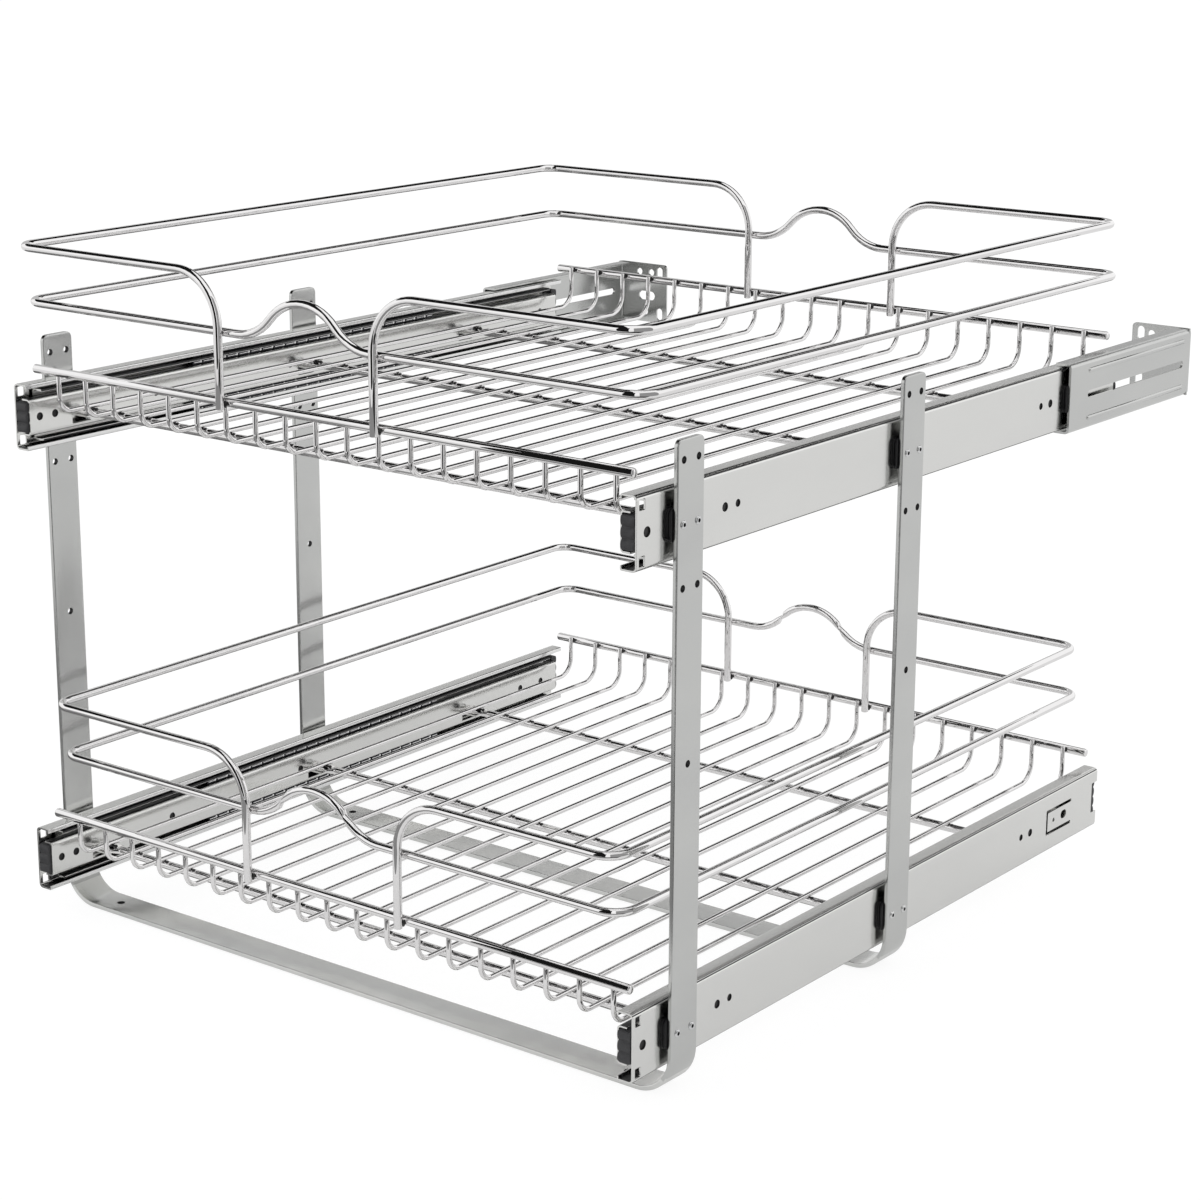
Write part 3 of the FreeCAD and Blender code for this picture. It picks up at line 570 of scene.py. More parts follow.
def middle_member(tier, side_name):
    """Member between the two rows of balls, inside the outer member at rest."""
    node = f"{tier}_{side_name}_middle_member"
    side = SIDES[side_name]
    low, high = box(node)
    z = SLIDE_Z[tier]
    rise = high.z - z
    section = channel(side * MIDDLE_FACE, side * MIDDLE_LIP, rise, MIDDLE_CORNER, MIDDLE_CURL)
    mesh = bmesh.new()
    prism(mesh, lifted(section, z), "Y", low.y, high.y)
    obj = object_from(node + "_look", mesh)
    # Painted shade on the ball tracks, painted highlight on the legs' edges
    paint_track_shade(obj, z, rise - SHEET, rise)
    paint_lip_highlight(obj, z, rise - MIDDLE_LIP_RISE, side * MIDDLE_LIP)
    soft_edges(obj, 0.12)
    dress(obj, node, SLIDE_ZINC, PAINTED_SHADE_BLACK, LIP_HIGHLIGHT_ZINC)


# Y of the cross rods and the round holes behind the slides' front ends
CROSS_ROD_Y = (46.0, 262.0, 440.0)
LUG_LENGTH, LUG_REACH, LUG_PLAY, LUG_TOP = 16.0, 14.0, 0.15, 2.0
LUG_WINDOW_DROP, LUG_WINDOW_CORNER = 5.8, 0.5
LUG_RADII = [0.3, 0.3, 1.8, 0, 0, 0.8]
INNER_CORNER = 2.4
INNER_WEB = INNER[0].x + LUG_REACH
INNER_HOLE, INNER_HOLE_Y = 5.2, (10.0, 23.2, 114.0, 246.0, 505.0, 531.4)
TAB_THICKNESS, TAB_WIDTH, TAB_LENGTH, TAB_GAP = 2.2, 13.0, 15.0, 0.4


def inner_member(tier, side_name):
    """Basket's member: open to the outside, with bent lugs that carry the cross rods."""
    node = f"{tier}_{side_name}_inner_member"
    side = SIDES[side_name]
    low, high = box(node)
    z = SLIDE_Z[tier]
    web = side * INNER_WEB
    mesh = bmesh.new()
    prism(mesh, lifted(channel(web, side * INNER_LIP, INNER_RISE, INNER_CORNER), z), "Y", low.y, high.y)
    obj = object_from(node + "_look", mesh)

    top = z + ROD_RISE - TAB_THICKNESS / 2
    bottom = top - SHEET
    starts = [SLIDE_FRONT + y - LUG_LENGTH / 2 for y in CROSS_ROD_Y]
    cut = bmesh.new()
    through = sorted((web - side * PAST, web + side * (SHEET + PAST)))
    for start in starts:
        window = block(start, start + LUG_LENGTH, bottom - LUG_WINDOW_DROP, top + LUG_TOP, LUG_WINDOW_CORNER)
        prism(cut, window, "X", *through)
    holes = [(SLIDE_FRONT + y, z, INNER_HOLE) for y in INNER_HOLE_Y]
    for hole in holes:
        prism(cut, round_hole(*hole), "X", *sorted((web - side * PAST, web + side * HOLE_DEPTH)))
    carve(obj, cut)

    lugs = reopened(obj)
    tip, back, crest = web - side * LUG_REACH, web + side * SHEET, top + LUG_TOP
    bend = [(tip, top), (tip, bottom), (back, bottom), (back, crest), (web, crest), (web, top)]
    for start in starts:
        prism(lugs, rounded(bend, LUG_RADII), "Y", start + LUG_PLAY, start + LUG_LENGTH - LUG_PLAY)
    remake(obj, lugs)
    # Painted shade on the ball tracks and in the holes
    paint_track_shade(obj, z, INNER_RISE, INNER_RISE)
    paint_hole_shade(obj, holes, 1)
    soft_edges(obj, 0.15)
    dress(obj, node, SLIDE_ZINC, PAINTED_SHADE_BLACK)


# Diameter of the balls and rise of their rows over and under the slide's middle
CAGES = {"outer": (3.4, 19.0), "inner": (3.6, 14.1)}
BALL_PITCH, BALL_SLOT, BALL_SINK = 11.8, 2.2, 0.3
CAGE_SHEET, CAGE_SET_BACK, CAGE_CORNER, CAGE_INNER_CORNER = 0.5, 0.7, 0.8, 0.3
LIP_SHARE, LIP_CORNER = 0.4, 0.2
# Sizes of the thin bright strips on the lips, which are painted highlights
GLINT_PROUD, GLINT_HALF, GLINT_CORNER, GLINT_LEAD = 0.25, 0.35, 0.15, 1.2


def ball_cage(tier, side_name, row, ball, rise):
    """Near-black strip, painted shade in the gap between members, with turned lips that leave a slot at each
    ball, thin bright strips on the lips that are painted highlights, and the balls.
    """
    node = f"{tier}_{side_name}_{row}_ball_cage"
    side = SIDES[side_name]
    low, high = box(node)
    web, lip = (high.x, low.x) if side > 0 else (low.x, high.x)
    z = SLIDE_Z[tier]
    half = high.z - z
    top = half - CAGE_SHEET
    inside = web - side * CAGE_SHEET
    tip = lip + side * CAGE_SET_BACK
    points = [(web, half), (web, -half), (tip, -half), (tip, -top),
              (inside, -top), (inside, top), (tip, top), (tip, half)]
    radii = [CAGE_CORNER] * 2 + [0, 0] + [CAGE_INNER_CORNER] * 2 + [0, 0]
    mesh = bmesh.new()
    prism(mesh, lifted(rounded(points, radii), z), "Y", low.y, high.y)
    count = int((high.y - low.y) / BALL_PITCH)
    start = (low.y + high.y - (count - 1) * BALL_PITCH) / 2
    edges = [low.y] + [start + k * BALL_PITCH + half_slot
                       for k in range(count) for half_slot in (-BALL_SLOT / 2, BALL_SLOT / 2)] + [high.y]
    lips = sorted((tip, tip + side * CAGE_SHEET))
    bright = sorted((tip - side * GLINT_PROUD, tip + side * CAGE_SHEET / 2))
    lip_half = ball * LIP_SHARE
    # Near-black lips with a slot at each ball: painted shade in the gap
    for lip_z in (z - rise, z + rise):
        for front, rear in zip(edges[::2], edges[1::2]):
            prism(mesh, block(*lips, lip_z - lip_half, lip_z + lip_half, LIP_CORNER), "Y", front, rear)
    strip = len(mesh.faces)
    # Thin bright strips on the lips, painted highlights, then the balls
    for lip_z in (z - rise, z + rise):
        for front, rear in zip(edges[::2], edges[1::2]):
            edge = block(*bright, lip_z - GLINT_HALF, lip_z + GLINT_HALF, GLINT_CORNER)
            prism(mesh, edge, "Y", front + GLINT_LEAD, rear)
        for k in range(count):
            centre = (tip + side * (ball / 2 - BALL_SINK), start + k * BALL_PITCH, lip_z)
            blob(mesh, centre, [ball / 2] * 3)
    round_piece(node, mesh, CAGE_SHADE_STRIP, BALL_AND_GLINT_STEEL, first=strip)


# End of the member, -1 for the front and 1 for the rear, then lobes and roll of the edges
STOPS = {"bumper": (-1, 3, 0.9), "rear_stop": (1, 4, 0.4)}
LOBE_CROWN, LOBE_STEPS, LOBE_POWER, LOBE_ROOM = 1.5, 8, 0.6, 1.55
STOP_CHAMFER, STOP_EDGE_BACK, STOP_EDGE_IN, STOP_PLAY = 3.75, 0.75, 0.6, 0.05


def lobed(base, back, low, high, lobes):
    """Outline of (Y, Z) points with arched lobes on its base edge."""
    pitch = (high - low) / lobes
    out = math.copysign(1.0, base - back)
    shoulder, edge = base - out * STOP_CHAMFER, base - out * STOP_EDGE_BACK
    points = [(back, low), (back, high), (shoulder, high), (edge, high - STOP_EDGE_IN)]
    for k in range(1, lobes * LOBE_STEPS):
        lobe, step = divmod(k, LOBE_STEPS)
        share = step / LOBE_STEPS
        arch = LOBE_CROWN * math.sin(math.pi * share) ** LOBE_POWER
        points.append((base + out * arch, high - (lobe + share) * pitch))
    return points + [(edge, low + STOP_EDGE_IN), (shoulder, low)]


def rubber_stop(node, end, lobes, roll):
    """Rubber block in a member's end."""
    low, high = box(node)
    base, back = (low.y, high.y) if end < 0 else (high.y, low.y)
    outline = lobed(base - end * LOBE_ROOM, back, low.z + STOP_PLAY, high.z - STOP_PLAY, lobes)
    mesh = bmesh.new()
    prism(mesh, outline, "X", low.x + STOP_PLAY, high.x - STOP_PLAY)
    obj = object_from(node + "_look", mesh)
    soft_edges(obj, roll, 3)
    dress(obj, node, STOP_RUBBER)


for tier_name in TIERS:
    for name_of_side in SIDES:
        outer_member(tier_name, name_of_side)
        middle_member(tier_name, name_of_side)
        inner_member(tier_name, name_of_side)
        for row_name, sizes in CAGES.items():
            ball_cage(tier_name, name_of_side, row_name, *sizes)
        for stop_name, sizes in STOPS.items():
            rubber_stop(f"{tier_name}_{name_of_side}_{stop_name}", *sizes)


# Frames
BEND_RADIUS, UPRIGHT_CORNER, BAR_EDGE = 26.0, 4.0, 0.7
SIDE_HOLE, SIDE_HOLE_HALF_PITCH, SIDE_HOLE_RISE, MIDDLE_HOLE_Z = 4.5, 7.0, 37.0, 206.0
SIDE_CUT_PAST = 5.0
FLOOR_HOLE, FLOOR_HOLE_X = 5.5, 220.0
LIT_FLOOR_TOP = 12.0


def bar_frame(place):
    """Flat bar bent to a U, with rolled edges and rounded top corners."""
    node = f"{place}_frame"
    y = FRAME_Y[place]
    x, foot = UPRIGHT_FACE - BAR / 2, BAR / 2
    bend = BEND_RADIUS - BAR / 2
    spine = bent([(-x, 0, UPRIGHT_TOP), (-x, 0, foot), (x, 0, foot), (x, 0, UPRIGHT_TOP)], [0, bend, bend, 0])
    corner_steps = [math.radians(angle) for angle in (0, 15, 30, 45, 60, 75, 88)]
    stations = []
    for angle in reversed(corner_steps):
        rise = UPRIGHT_TOP - UPRIGHT_CORNER * (1 - math.sin(angle))
        half = BAR_WIDTH / 2 - UPRIGHT_CORNER * (1 - math.cos(angle))
        stations.append((Vector((-x, 0, rise)), half))
    stations += [(point, BAR_WIDTH / 2) for point in spine[1:-1]]
    stations += [(Vector((x, 0, point.z)), half) for point, half in reversed(stations[:len(corner_steps)])]

    mesh = bmesh.new()
    rings = []
    for k, (point, half) in enumerate(stations):
        before = stations[max(k - 1, 0)][0]
        after = stations[min(k + 1, len(stations) - 1)][0]
        heading = (after - before).normalized()
        outward = Vector((0, 1, 0)).cross(heading)
        shape = block(-half, half, -BAR / 2, BAR / 2, BAR_EDGE)
        rings.append([mesh.verts.new(point + Vector((0, y + p.x, 0)) + outward * p.y) for p in shape])
    skin(mesh, rings)
    obj = object_from(node + "_look", mesh)

    cut = bmesh.new()
    reach = UPRIGHT_FACE + SIDE_CUT_PAST
    holes = [(y + step, SLIDE_Z["upper"] + rise, SIDE_HOLE)
             for rise in (SIDE_HOLE_RISE, -SIDE_HOLE_RISE)
             for step in (-SIDE_HOLE_HALF_PITCH, SIDE_HOLE_HALF_PITCH)]
    holes.append((y, MIDDLE_HOLE_Z, SIDE_HOLE))
    for hole in holes:
        prism(cut, round_hole(*hole), "X", -reach, reach)
    for floor_x in (-FLOOR_HOLE_X, FLOOR_HOLE_X):
        prism(cut, round_hole(floor_x, y, FLOOR_HOLE), "Z", -BAR, 2 * BAR)
    carve(obj, cut)
    # Painted light: the bar's floor part, which faces up, takes the lighter zinc; the holes' walls take
    # painted shade
    for face in obj.data.polygons:
        at = face.center / MM
        face.material_index = int(at.z < LIT_FLOOR_TOP)
        if math.hypot(abs(at.x) - FLOOR_HOLE_X, at.y - y) < FLOOR_HOLE / 2 + HOLE_NEAR:
            face.material_index = 2
    paint_hole_shade(obj, holes, 2)
    smooth(obj)
    dress(obj, node, UPRIGHT_ZINC, FLOOR_BAR_LIT_ZINC, PAINTED_SHADE_BLACK)


for place_name in FRAME_Y:
    bar_frame(place_name)

PAD_LENGTH, PAD_HEIGHT, PAD_LEAD, PAD_CORNER, PAD_SET_BACK = 30.0, 20.0, 6.0, 4.0, 3.4
PAD_PLAY, PAD_SHELL, PAD_LAP, WAIST_INSET = 0.02, 0.42, 0.1, 0.8
BRACKET_FRONT = box("left_rear_bracket")[0].y


def pads(node, spots):
    """Moulded pads between the slides' webs and the bars: two shells that meet in a narrower waist."""
    mesh = bmesh.new()
    inner, outer = SLIDE_FACE + PAD_PLAY, UPRIGHT_FACE - BAR - PAD_PLAY
    shell = (outer - inner) * PAD_SHELL
    layers = ((inner, inner + shell, 0.0), (inner + shell - PAD_LAP, outer - shell + PAD_LAP, WAIST_INSET),
              (outer - shell, outer, 0.0))
    for side, front, z in spots:
        for near, far, narrower in layers:
            half = PAD_HEIGHT / 2 - narrower
            shape = block(front + PAD_SET_BACK + narrower, front + PAD_LENGTH - narrower,
                          z - half, z + half, PAD_CORNER)
            prism(mesh, shape, "X", *sorted((side * near, side * far)))
    obj = object_from(node + "_look", mesh)
    soft_edges(obj, 0.5, 3)
    dress(obj, node, PAD_PLASTIC)


frame_spots = [
    (side, y - BAR_WIDTH / 2 - PAD_LEAD, z)
    for side in SIDES.values() for y in FRAME_Y.values() for z in SLIDE_Z.values()
]
pads("frame_spacers", frame_spots)
pads("bracket_spacers", [(side, BRACKET_FRONT - PAD_LEAD, SLIDE_Z["upper"]) for side in SIDES.values()])

RIVET_HALF_PITCH, RIVET_SHANK, RIVET_TAIL, RIVET_PIT = 7.0, 1.9, 0.4, 1.18
RIVET_HEAD = ((2.6, 0.0), (2.6, 0.15), (2.4, 0.55), (2.0, 0.85), (1.6, 0.98), (1.2, 0.9), (1.1, 0.2),
              (0.1, 0.15))


def rivets():
    """Hollow-headed rivets through bars, pads and slides, with painted shade in the pit of each head."""
    spots = [(y + step, z) for y in FRAME_Y.values() for z in SLIDE_Z.values()
             for step in (-RIVET_HALF_PITCH, RIVET_HALF_PITCH)]
    tail = UPRIGHT_FACE - SLIDE_FACE + SHEET + RIVET_TAIL
    profile = ((RIVET_SHANK, -tail), (RIVET_SHANK, 0.0)) + RIVET_HEAD
    mesh = bmesh.new()
    for side in SIDES.values():
        for y, z in spots:
            turned_part(mesh, (side * UPRIGHT_FACE, y, z), (side, 0, 0), profile)
    obj = object_from("frame_rivets_look", mesh)
    # Faces close to each rivet's axis take the near-black: painted shade in the pit
    for face in obj.data.polygons:
        at = face.center / MM
        off_axis = min(math.hypot(at.y - y, at.z - z) for y, z in spots)
        face.material_index = int(off_axis < RIVET_PIT)
    smooth(obj)
    dress(obj, "frame_rivets", FASTENER_ZINC, PAINTED_SHADE_BLACK)


rivets()

BRACKET_SHEET, BRACKET_LIP, BRACKET_FLANGE, BRACKET_BEND = 1.6, 12.0, 47.0, 3.2
BRACKET_SLOT_FRONT, BRACKET_SLOT_LENGTH, BRACKET_SLOT_WIDTH = 25.0, 143.0, 5.2
RIB_RISE, RIB_WIDTH, RIB_HEIGHT = 16.6, 3.4, 1.1
LEG_EDGE, LEG_INNER_CORNER, FLANGE_EDGE, FLAT_END = 0.3, 1.6, 0.2, 1.0
SHELF_LENGTH, SHELF_DEPTH, SHELF_REACH = 6.0, 1.4, 0.5

# Inset from the flange's free edge, rise over the slide's middle, width and height
FLANGE_HOLES = ((15.5, 17.0, 5.6, 5.6), (27.5, 17.0, 5.6, 5.6), (21.5, -15.8, 5.6, 5.6),
                (20.0, -2.5, 16.4, 7.4), (7.0, 17.0, 6.0, 10.0), (7.0, -17.0, 6.0, 10.0))


def rear_bracket(side_name):
    """Sleeve over the slide's rear end; its web turns in to a flange with holes."""
    node = f"{side_name}_rear_bracket"
    side = SIDES[side_name]
    low, high = box(node)
    z = SLIDE_Z["upper"]
    half = high.z - z
    top = half - BRACKET_SHEET
    face = side * (UPRIGHT_FACE - BAR + BRACKET_SHEET)
    inside = face - side * BRACKET_SHEET
    lip = face - side * BRACKET_LIP
    edge = face - side * BRACKET_FLANGE
    rear = high.y - BRACKET_SHEET

    section = [(face, half), (face, -half), (lip, -half), (lip, -top),
               (inside, -top), (inside, top), (lip, top), (lip, half)]
    radii = [BRACKET_BEND] * 2 + [LEG_EDGE] * 2 + [LEG_INNER_CORNER] * 2 + [LEG_EDGE] * 2
    mesh = bmesh.new()
    prism(mesh, lifted(rounded(section, radii), z), "Y", low.y, rear)
    obj = object_from(node + "_look", mesh)

    bend_start = high.y - BRACKET_BEND - FLAT_END
    turn = [(face, bend_start), (face, high.y), (edge, high.y),
            (edge, rear), (inside, rear), (inside, bend_start)]
    radii = [0, BRACKET_BEND, FLANGE_EDGE, FLANGE_EDGE, BRACKET_BEND - BRACKET_SHEET, 0]
    wing = bmesh.new()
    prism(wing, rounded(turn, radii), "Z", z - half, z + half)
    join(obj, wing)

    cut = bmesh.new()
    slot_front = low.y + BRACKET_SLOT_FRONT
    slot = long_hole(slot_front + BRACKET_SLOT_LENGTH / 2, z, BRACKET_SLOT_LENGTH, BRACKET_SLOT_WIDTH)
    prism(cut, slot, "X", *sorted((face + side * PAST, inside - side * PAST)))
    through = (rear - PAST, high.y + PAST)
    for inset, rise, width, height in FLANGE_HOLES:
        prism(cut, long_hole(edge + side * inset, z + rise, width, height), "Y", *through)
    for up in (-1, 1):
        tip, r = z + up * half, BRACKET_BEND
        corner = [(edge - side * PAST, tip + up * PAST), (edge + side * r, tip + up * PAST)]
        for k in range(90 // FAN_STEP + 1):
            angle = math.radians(FAN_STEP * k)
            corner.append((edge + side * r * (1 - math.sin(angle)), tip - up * r * (1 - math.cos(angle))))
        corner.append((edge - side * PAST, tip - up * r))
        prism(cut, corner, "Y", *through)
        shelf = sorted((z + up * (top - SHELF_DEPTH), z + up * (half + PAST)))
        reach = sorted((lip - side * PAST, inside - side * SHELF_REACH))
        prism(cut, block(*reach, high.y - SHELF_LENGTH, rear), "Z", *shelf)
    carve(obj, cut)

    ribs = reopened(obj)
    for up in (-1, 1):
        start = Vector((face, slot_front, z + up * RIB_RISE))
        half_round(ribs, start, BRACKET_SLOT_LENGTH, side, RIB_WIDTH / 2, RIB_HEIGHT)
    remake(obj, ribs)
    soft_edges(obj, 0.15)
    dress(obj, node, UPRIGHT_ZINC)


for name_of_side in SIDES:
    rear_bracket(name_of_side)


# Baskets
SEAT = (RIM_ROD + RAIL_ROD) / 2 + WELD_GAP
RAIL_Y = {place: y - SEAT for place, y in RIM_Y.items()}
RAIL_HALF = {tier: box(f"{tier}_middle_rail")[1].x - RAIL_ROD / 2 for tier in TIERS}
RAIL_RISE, MIDDLE_RAIL_RISE = 111.6, 75.0
RAIL_CORNER, POST_BEND, POST_FOOT_DROP, POST_FOOT_CROWN = 14.0, 33.0, 3.7, 0.3

# How far the left front and left rear posts stand from the middle; the right side has them swapped
POST_X = {"upper": (70.0, 57.3), "lower": (58.5, 70.0)}
WAVE_HEIGHT, WAVE_HALF_WIDTH, WAVE_OFFSET = 24.0, 54.0, 4.0
WIRE_X = [(k - (WIRE_COUNT - 1) / 2) * WIRE_PITCH for k in range(WIRE_COUNT)]
WIRE_RISE = 3.5
FRONT_BEND, REAR_BEND = 10.0, 14.0
FRONT_END_DROP, REAR_END_DROP = 2.8, 0.5

# Weld beads, near-black as painted shade at the joints: half lengths, then places beside the pieces that they
# join
RIM_WELD, FOOT_WELD, POST_WELD = (1.3, 0.9, 2.0), (1.4, 1.2, 2.4), (1.5, 0.5, 1.5)
RIM_WELD_ACROSS, RIM_WELD_RISE, RIM_WELD_SINK, FRONT_WELD_DROP = 1.5, 0.6, 0.1, 2.4
FOOT_WELD_ACROSS, FOOT_WELD_SINK, FOOT_WELD_DROP = 2.1, 0.4, 1.0
ROD_WELD_LEAD, ROD_WELD_DROP = 1.0, 0.6

# Weld beads at a crossing of wire and rod, near-black as painted shade at the joint: place across the wire,
# then half lengths
ROD_WELDS = ((-1.6, (2.4, 1.7, 1.5)), (2.3, (1.4, 1.5, 1.3)))


def floor_wires(tier):
    """Wires with turned-up ends, and the weld beads at rims and cross rods, near-black as painted shade at
    the joints.
    """
    node = f"{tier}_floor_wires"
    z = SLIDE_Z[tier]
    reach = (RIM_ROD + WIRE) / 2 + WELD_GAP
    front, rear = RIM_Y["front"] + reach, RIM_Y["rear"] - reach
    low, high = z + WIRE_RISE, z + RIM_RISE + RIM_ROD / 2 - WELD_GAP
    mesh = bmesh.new()
    for x in WIRE_X:
        corners = [(x, front, high - FRONT_END_DROP), (x, front, low),
                   (x, rear, low), (x, rear, high - REAR_END_DROP)]
        tube(mesh, bent(corners, [0, FRONT_BEND, REAR_BEND, 0]), WIRE / 2, WIRE_SIDES)
    wires = len(mesh.faces)
    rim_weld_z = z + RIM_RISE + RIM_WELD_RISE
    rod_weld_z = z + ROD_RISE + CROSS_ROD / 2 - ROD_WELD_DROP
    weld_offset = WIRE / 2 - RIM_WELD_SINK
    for x in WIRE_X:
        blob(mesh, (x + RIM_WELD_ACROSS, front - weld_offset, rim_weld_z - FRONT_WELD_DROP), RIM_WELD)
        blob(mesh, (x + RIM_WELD_ACROSS, rear + weld_offset, rim_weld_z), RIM_WELD)
        for y in CROSS_ROD_Y:
            for across, size in ROD_WELDS:
                blob(mesh, (x + across, SLIDE_FRONT + y - ROD_WELD_LEAD, rod_weld_z), size)
    round_piece(node, mesh, WIRE_CHROME, WELD_SHADE_METAL, first=wires)


def rim_rod(tier, place):
    z = SLIDE_Z[tier] + RIM_RISE
    end = RIM_HALF - END_CROWN * RIM_ROD / 2
    mesh = bmesh.new()
    tube(mesh, [Vector((x, RIM_Y[place], z)) for x in (-end, end)], RIM_ROD / 2, ROD_SIDES)
    round_piece(f"{tier}_{place}_rim_rod", mesh, WIRE_CHROME)


TAB_PRESS, TAB_PRESS_STEPS, TAB_TIP, TAB_SQUARENESS = 7.0, 8, 3.0, 0.75


def flattened_rod(mesh, y, z):
    """Round rod whose ends are pressed flat and wide, with rounded tips."""
    tab_end = INNER_WEB - TAB_GAP
    rod_end = tab_end - TAB_LENGTH
    radius, tab_half = CROSS_ROD / 2, TAB_WIDTH / 2
    stations = [(0.0, radius, radius)]
    for k in range(TAB_PRESS_STEPS + 1):
        share = k / TAB_PRESS_STEPS
        ease = share * share * (3 - 2 * share)
        wide = radius + (tab_half - radius) * ease
        thick = radius + (TAB_THICKNESS / 2 - radius) * ease
        stations.append((rod_end - TAB_PRESS * (1 - share), wide, thick))
    for k in range(90 // FAN_STEP + 1):
        angle = math.radians(FAN_STEP * k)
        stations.append((tab_end - TAB_TIP * (1 - math.sin(angle)),
                         tab_half - TAB_TIP * (1 - math.cos(angle)), TAB_THICKNESS / 2))
    rings = []
    for x, wide, thick in [(-x, wide, thick) for x, wide, thick in reversed(stations[1:])] + stations:
        square = min(1.0, max(0.0, (wide - radius) / (tab_half - radius)))
        power = 1.0 - TAB_SQUARENESS * square
        points = []
        for k in range(ROD_SIDES):
            a = math.tau * (k + 0.5) / ROD_SIDES
            c, s = math.cos(a), math.sin(a)
            points.append(mesh.verts.new((x, y + wide * math.copysign(abs(c) ** power, c),
                                          z + thick * math.copysign(abs(s) ** power, s))))
        rings.append(points)
    skin(mesh, rings)


def cross_rods(tier):
    mesh = bmesh.new()
    for y in CROSS_ROD_Y:
        flattened_rod(mesh, SLIDE_FRONT + y, SLIDE_Z[tier] + ROD_RISE)
    round_piece(f"{tier}_cross_rods", mesh, WIRE_CHROME)


SCREW_INSET, SCREW_SHANK, SCREW_TAIL = 6.4, 1.9, 6.2
RECESS_REACH, RECESS_HALF, RECESS_FLOOR = 1.9, 0.42, 0.9
SCREW_HEAD = ((3.5, 0.0), (3.5, 0.7), (3.2, 1.3), (2.6, 1.75), (1.6, 1.95), (0.1, 2.0))


def basket_screws(tier):
    """Pan-head screws with a cross recess through the rods' tabs and the lugs."""
    node = f"{tier}_basket_screws"
    top = SLIDE_Z[tier] + ROD_RISE + TAB_THICKNESS / 2
    profile = ((SCREW_SHANK, -SCREW_TAIL), (SCREW_SHANK, 0.0)) + SCREW_HEAD
    head_top = top + SCREW_HEAD[-1][1]
    mesh, cut = bmesh.new(), bmesh.new()
    for side in SIDES.values():
        for y in CROSS_ROD_Y:
            x, at_y = side * (INNER_WEB - SCREW_INSET), SLIDE_FRONT + y
            turned_part(mesh, (x, at_y, top), (0, 0, 1), profile)
            prism(cut, cross(x, at_y, RECESS_REACH, RECESS_HALF), "Z", top + RECESS_FLOOR, head_top + PAST)
    obj = object_from(node + "_look", mesh)
    carve(obj, cut)
    smooth(obj)
    dress(obj, node, FASTENER_ZINC)


def gallery_rail(tier, side_name):
    """Post, bend, front run, side, rear run, bend and post, with the weld beads of both posts, near-black as
    painted shade at the joints.
    """
    node = f"{tier}_{side_name}_gallery_rail"
    side = SIDES[side_name]
    top = SLIDE_Z[tier] + RAIL_RISE
    foot = SLIDE_Z[tier] + RIM_RISE - POST_FOOT_DROP + POST_FOOT_CROWN
    front_x, rear_x = (side * x for x in POST_X[tier][::-side])
    side_x = side * RAIL_HALF[tier]
    front, rear = RAIL_Y["front"], RAIL_Y["rear"]
    corners = [(front_x, front, foot), (front_x, front, top), (side_x, front, top),
               (side_x, rear, top), (rear_x, rear, top), (rear_x, rear, foot)]
    path = bent(corners, [0, POST_BEND, RAIL_CORNER, RAIL_CORNER, POST_BEND, 0])
    mesh = bmesh.new()
    tube(mesh, path, RAIL_ROD / 2, RAIL_SIDES)
    rod = len(mesh.faces)
    middle_z = SLIDE_Z[tier] + MIDDLE_RAIL_RISE
    foot_weld_z = foot + POST_FOOT_DROP - FOOT_WELD_DROP
    for x, y in ((front_x, front), (rear_x, rear)):
        seam = y + RAIL_ROD / 2
        blob(mesh, (x + FOOT_WELD_ACROSS, seam - FOOT_WELD_SINK, foot_weld_z), FOOT_WELD)
        blob(mesh, (x, seam + WELD_GAP / 2, middle_z), POST_WELD)
    round_piece(node, mesh, WIRE_CHROME, WELD_SHADE_METAL, first=rod)


def wave(centre, y, base, direction):
    """Corner points and bend radii of the raised wave."""
    tilt = 2 * math.atan(WAVE_HEIGHT / WAVE_HALF_WIDTH)
    radius = WAVE_HALF_WIDTH / (2 * math.sin(tilt))
    flank = radius * (math.tan(tilt / 2) + math.tan(tilt))
    run = flank * math.cos(tilt) * direction
    points = [(centre - run, y, base), (centre, y, base + flank * math.sin(tilt)), (centre + run, y, base)]
    return points, [radius] * 3


def middle_rail(tier):
    """Closed loop behind the posts, raised to a wave at the front and at the rear."""
    x, z = RAIL_HALF[tier], SLIDE_Z[tier] + MIDDLE_RAIL_RISE
    front, rear = (RAIL_Y[place] + RAIL_ROD + WELD_GAP for place in ("front", "rear"))
    front_wave, front_radii = wave(-WAVE_OFFSET, front, z, 1)
    rear_wave, rear_radii = wave(WAVE_OFFSET, rear, z, -1)
    corners = [(-x, front, z)] + front_wave + [(x, front, z), (x, rear, z)] + rear_wave + [(-x, rear, z)]
    turn = RAIL_CORNER
    path = bent(corners, [turn] + front_radii + [turn, turn] + rear_radii + [turn], closed=True)
    mesh = bmesh.new()
    tube(mesh, path, RAIL_ROD / 2, RAIL_SIDES, closed=True)
    round_piece(f"{tier}_middle_rail", mesh, WIRE_CHROME)


for tier_name in TIERS:
    floor_wires(tier_name)
    cross_rods(tier_name)
    basket_screws(tier_name)
    middle_rail(tier_name)
    for place_name in RIM_Y:
        rim_rod(tier_name, place_name)
    for name_of_side in SIDES:
        gallery_rail(tier_name, name_of_side)


# Studio, in metres
FLOOR_SPAN, FLOOR_DROP = 40.0, 0.0002
PAPER_TONE, FLOOR_GLOW = 0.62, 1.18
STUDIO_MIDDLE = Vector((0, 0.2, 0))
OVERHEAD, LYING, STEP_UP = 2.4, 0.001, 0.002

# How much of the floor is glow for each kind of ray; the shares of a ray add up
GLOW_SHARES = (("Is Camera Ray", 0.75), ("Is Glossy Ray", 0.3), ("Is Transmission Ray", 0.3))


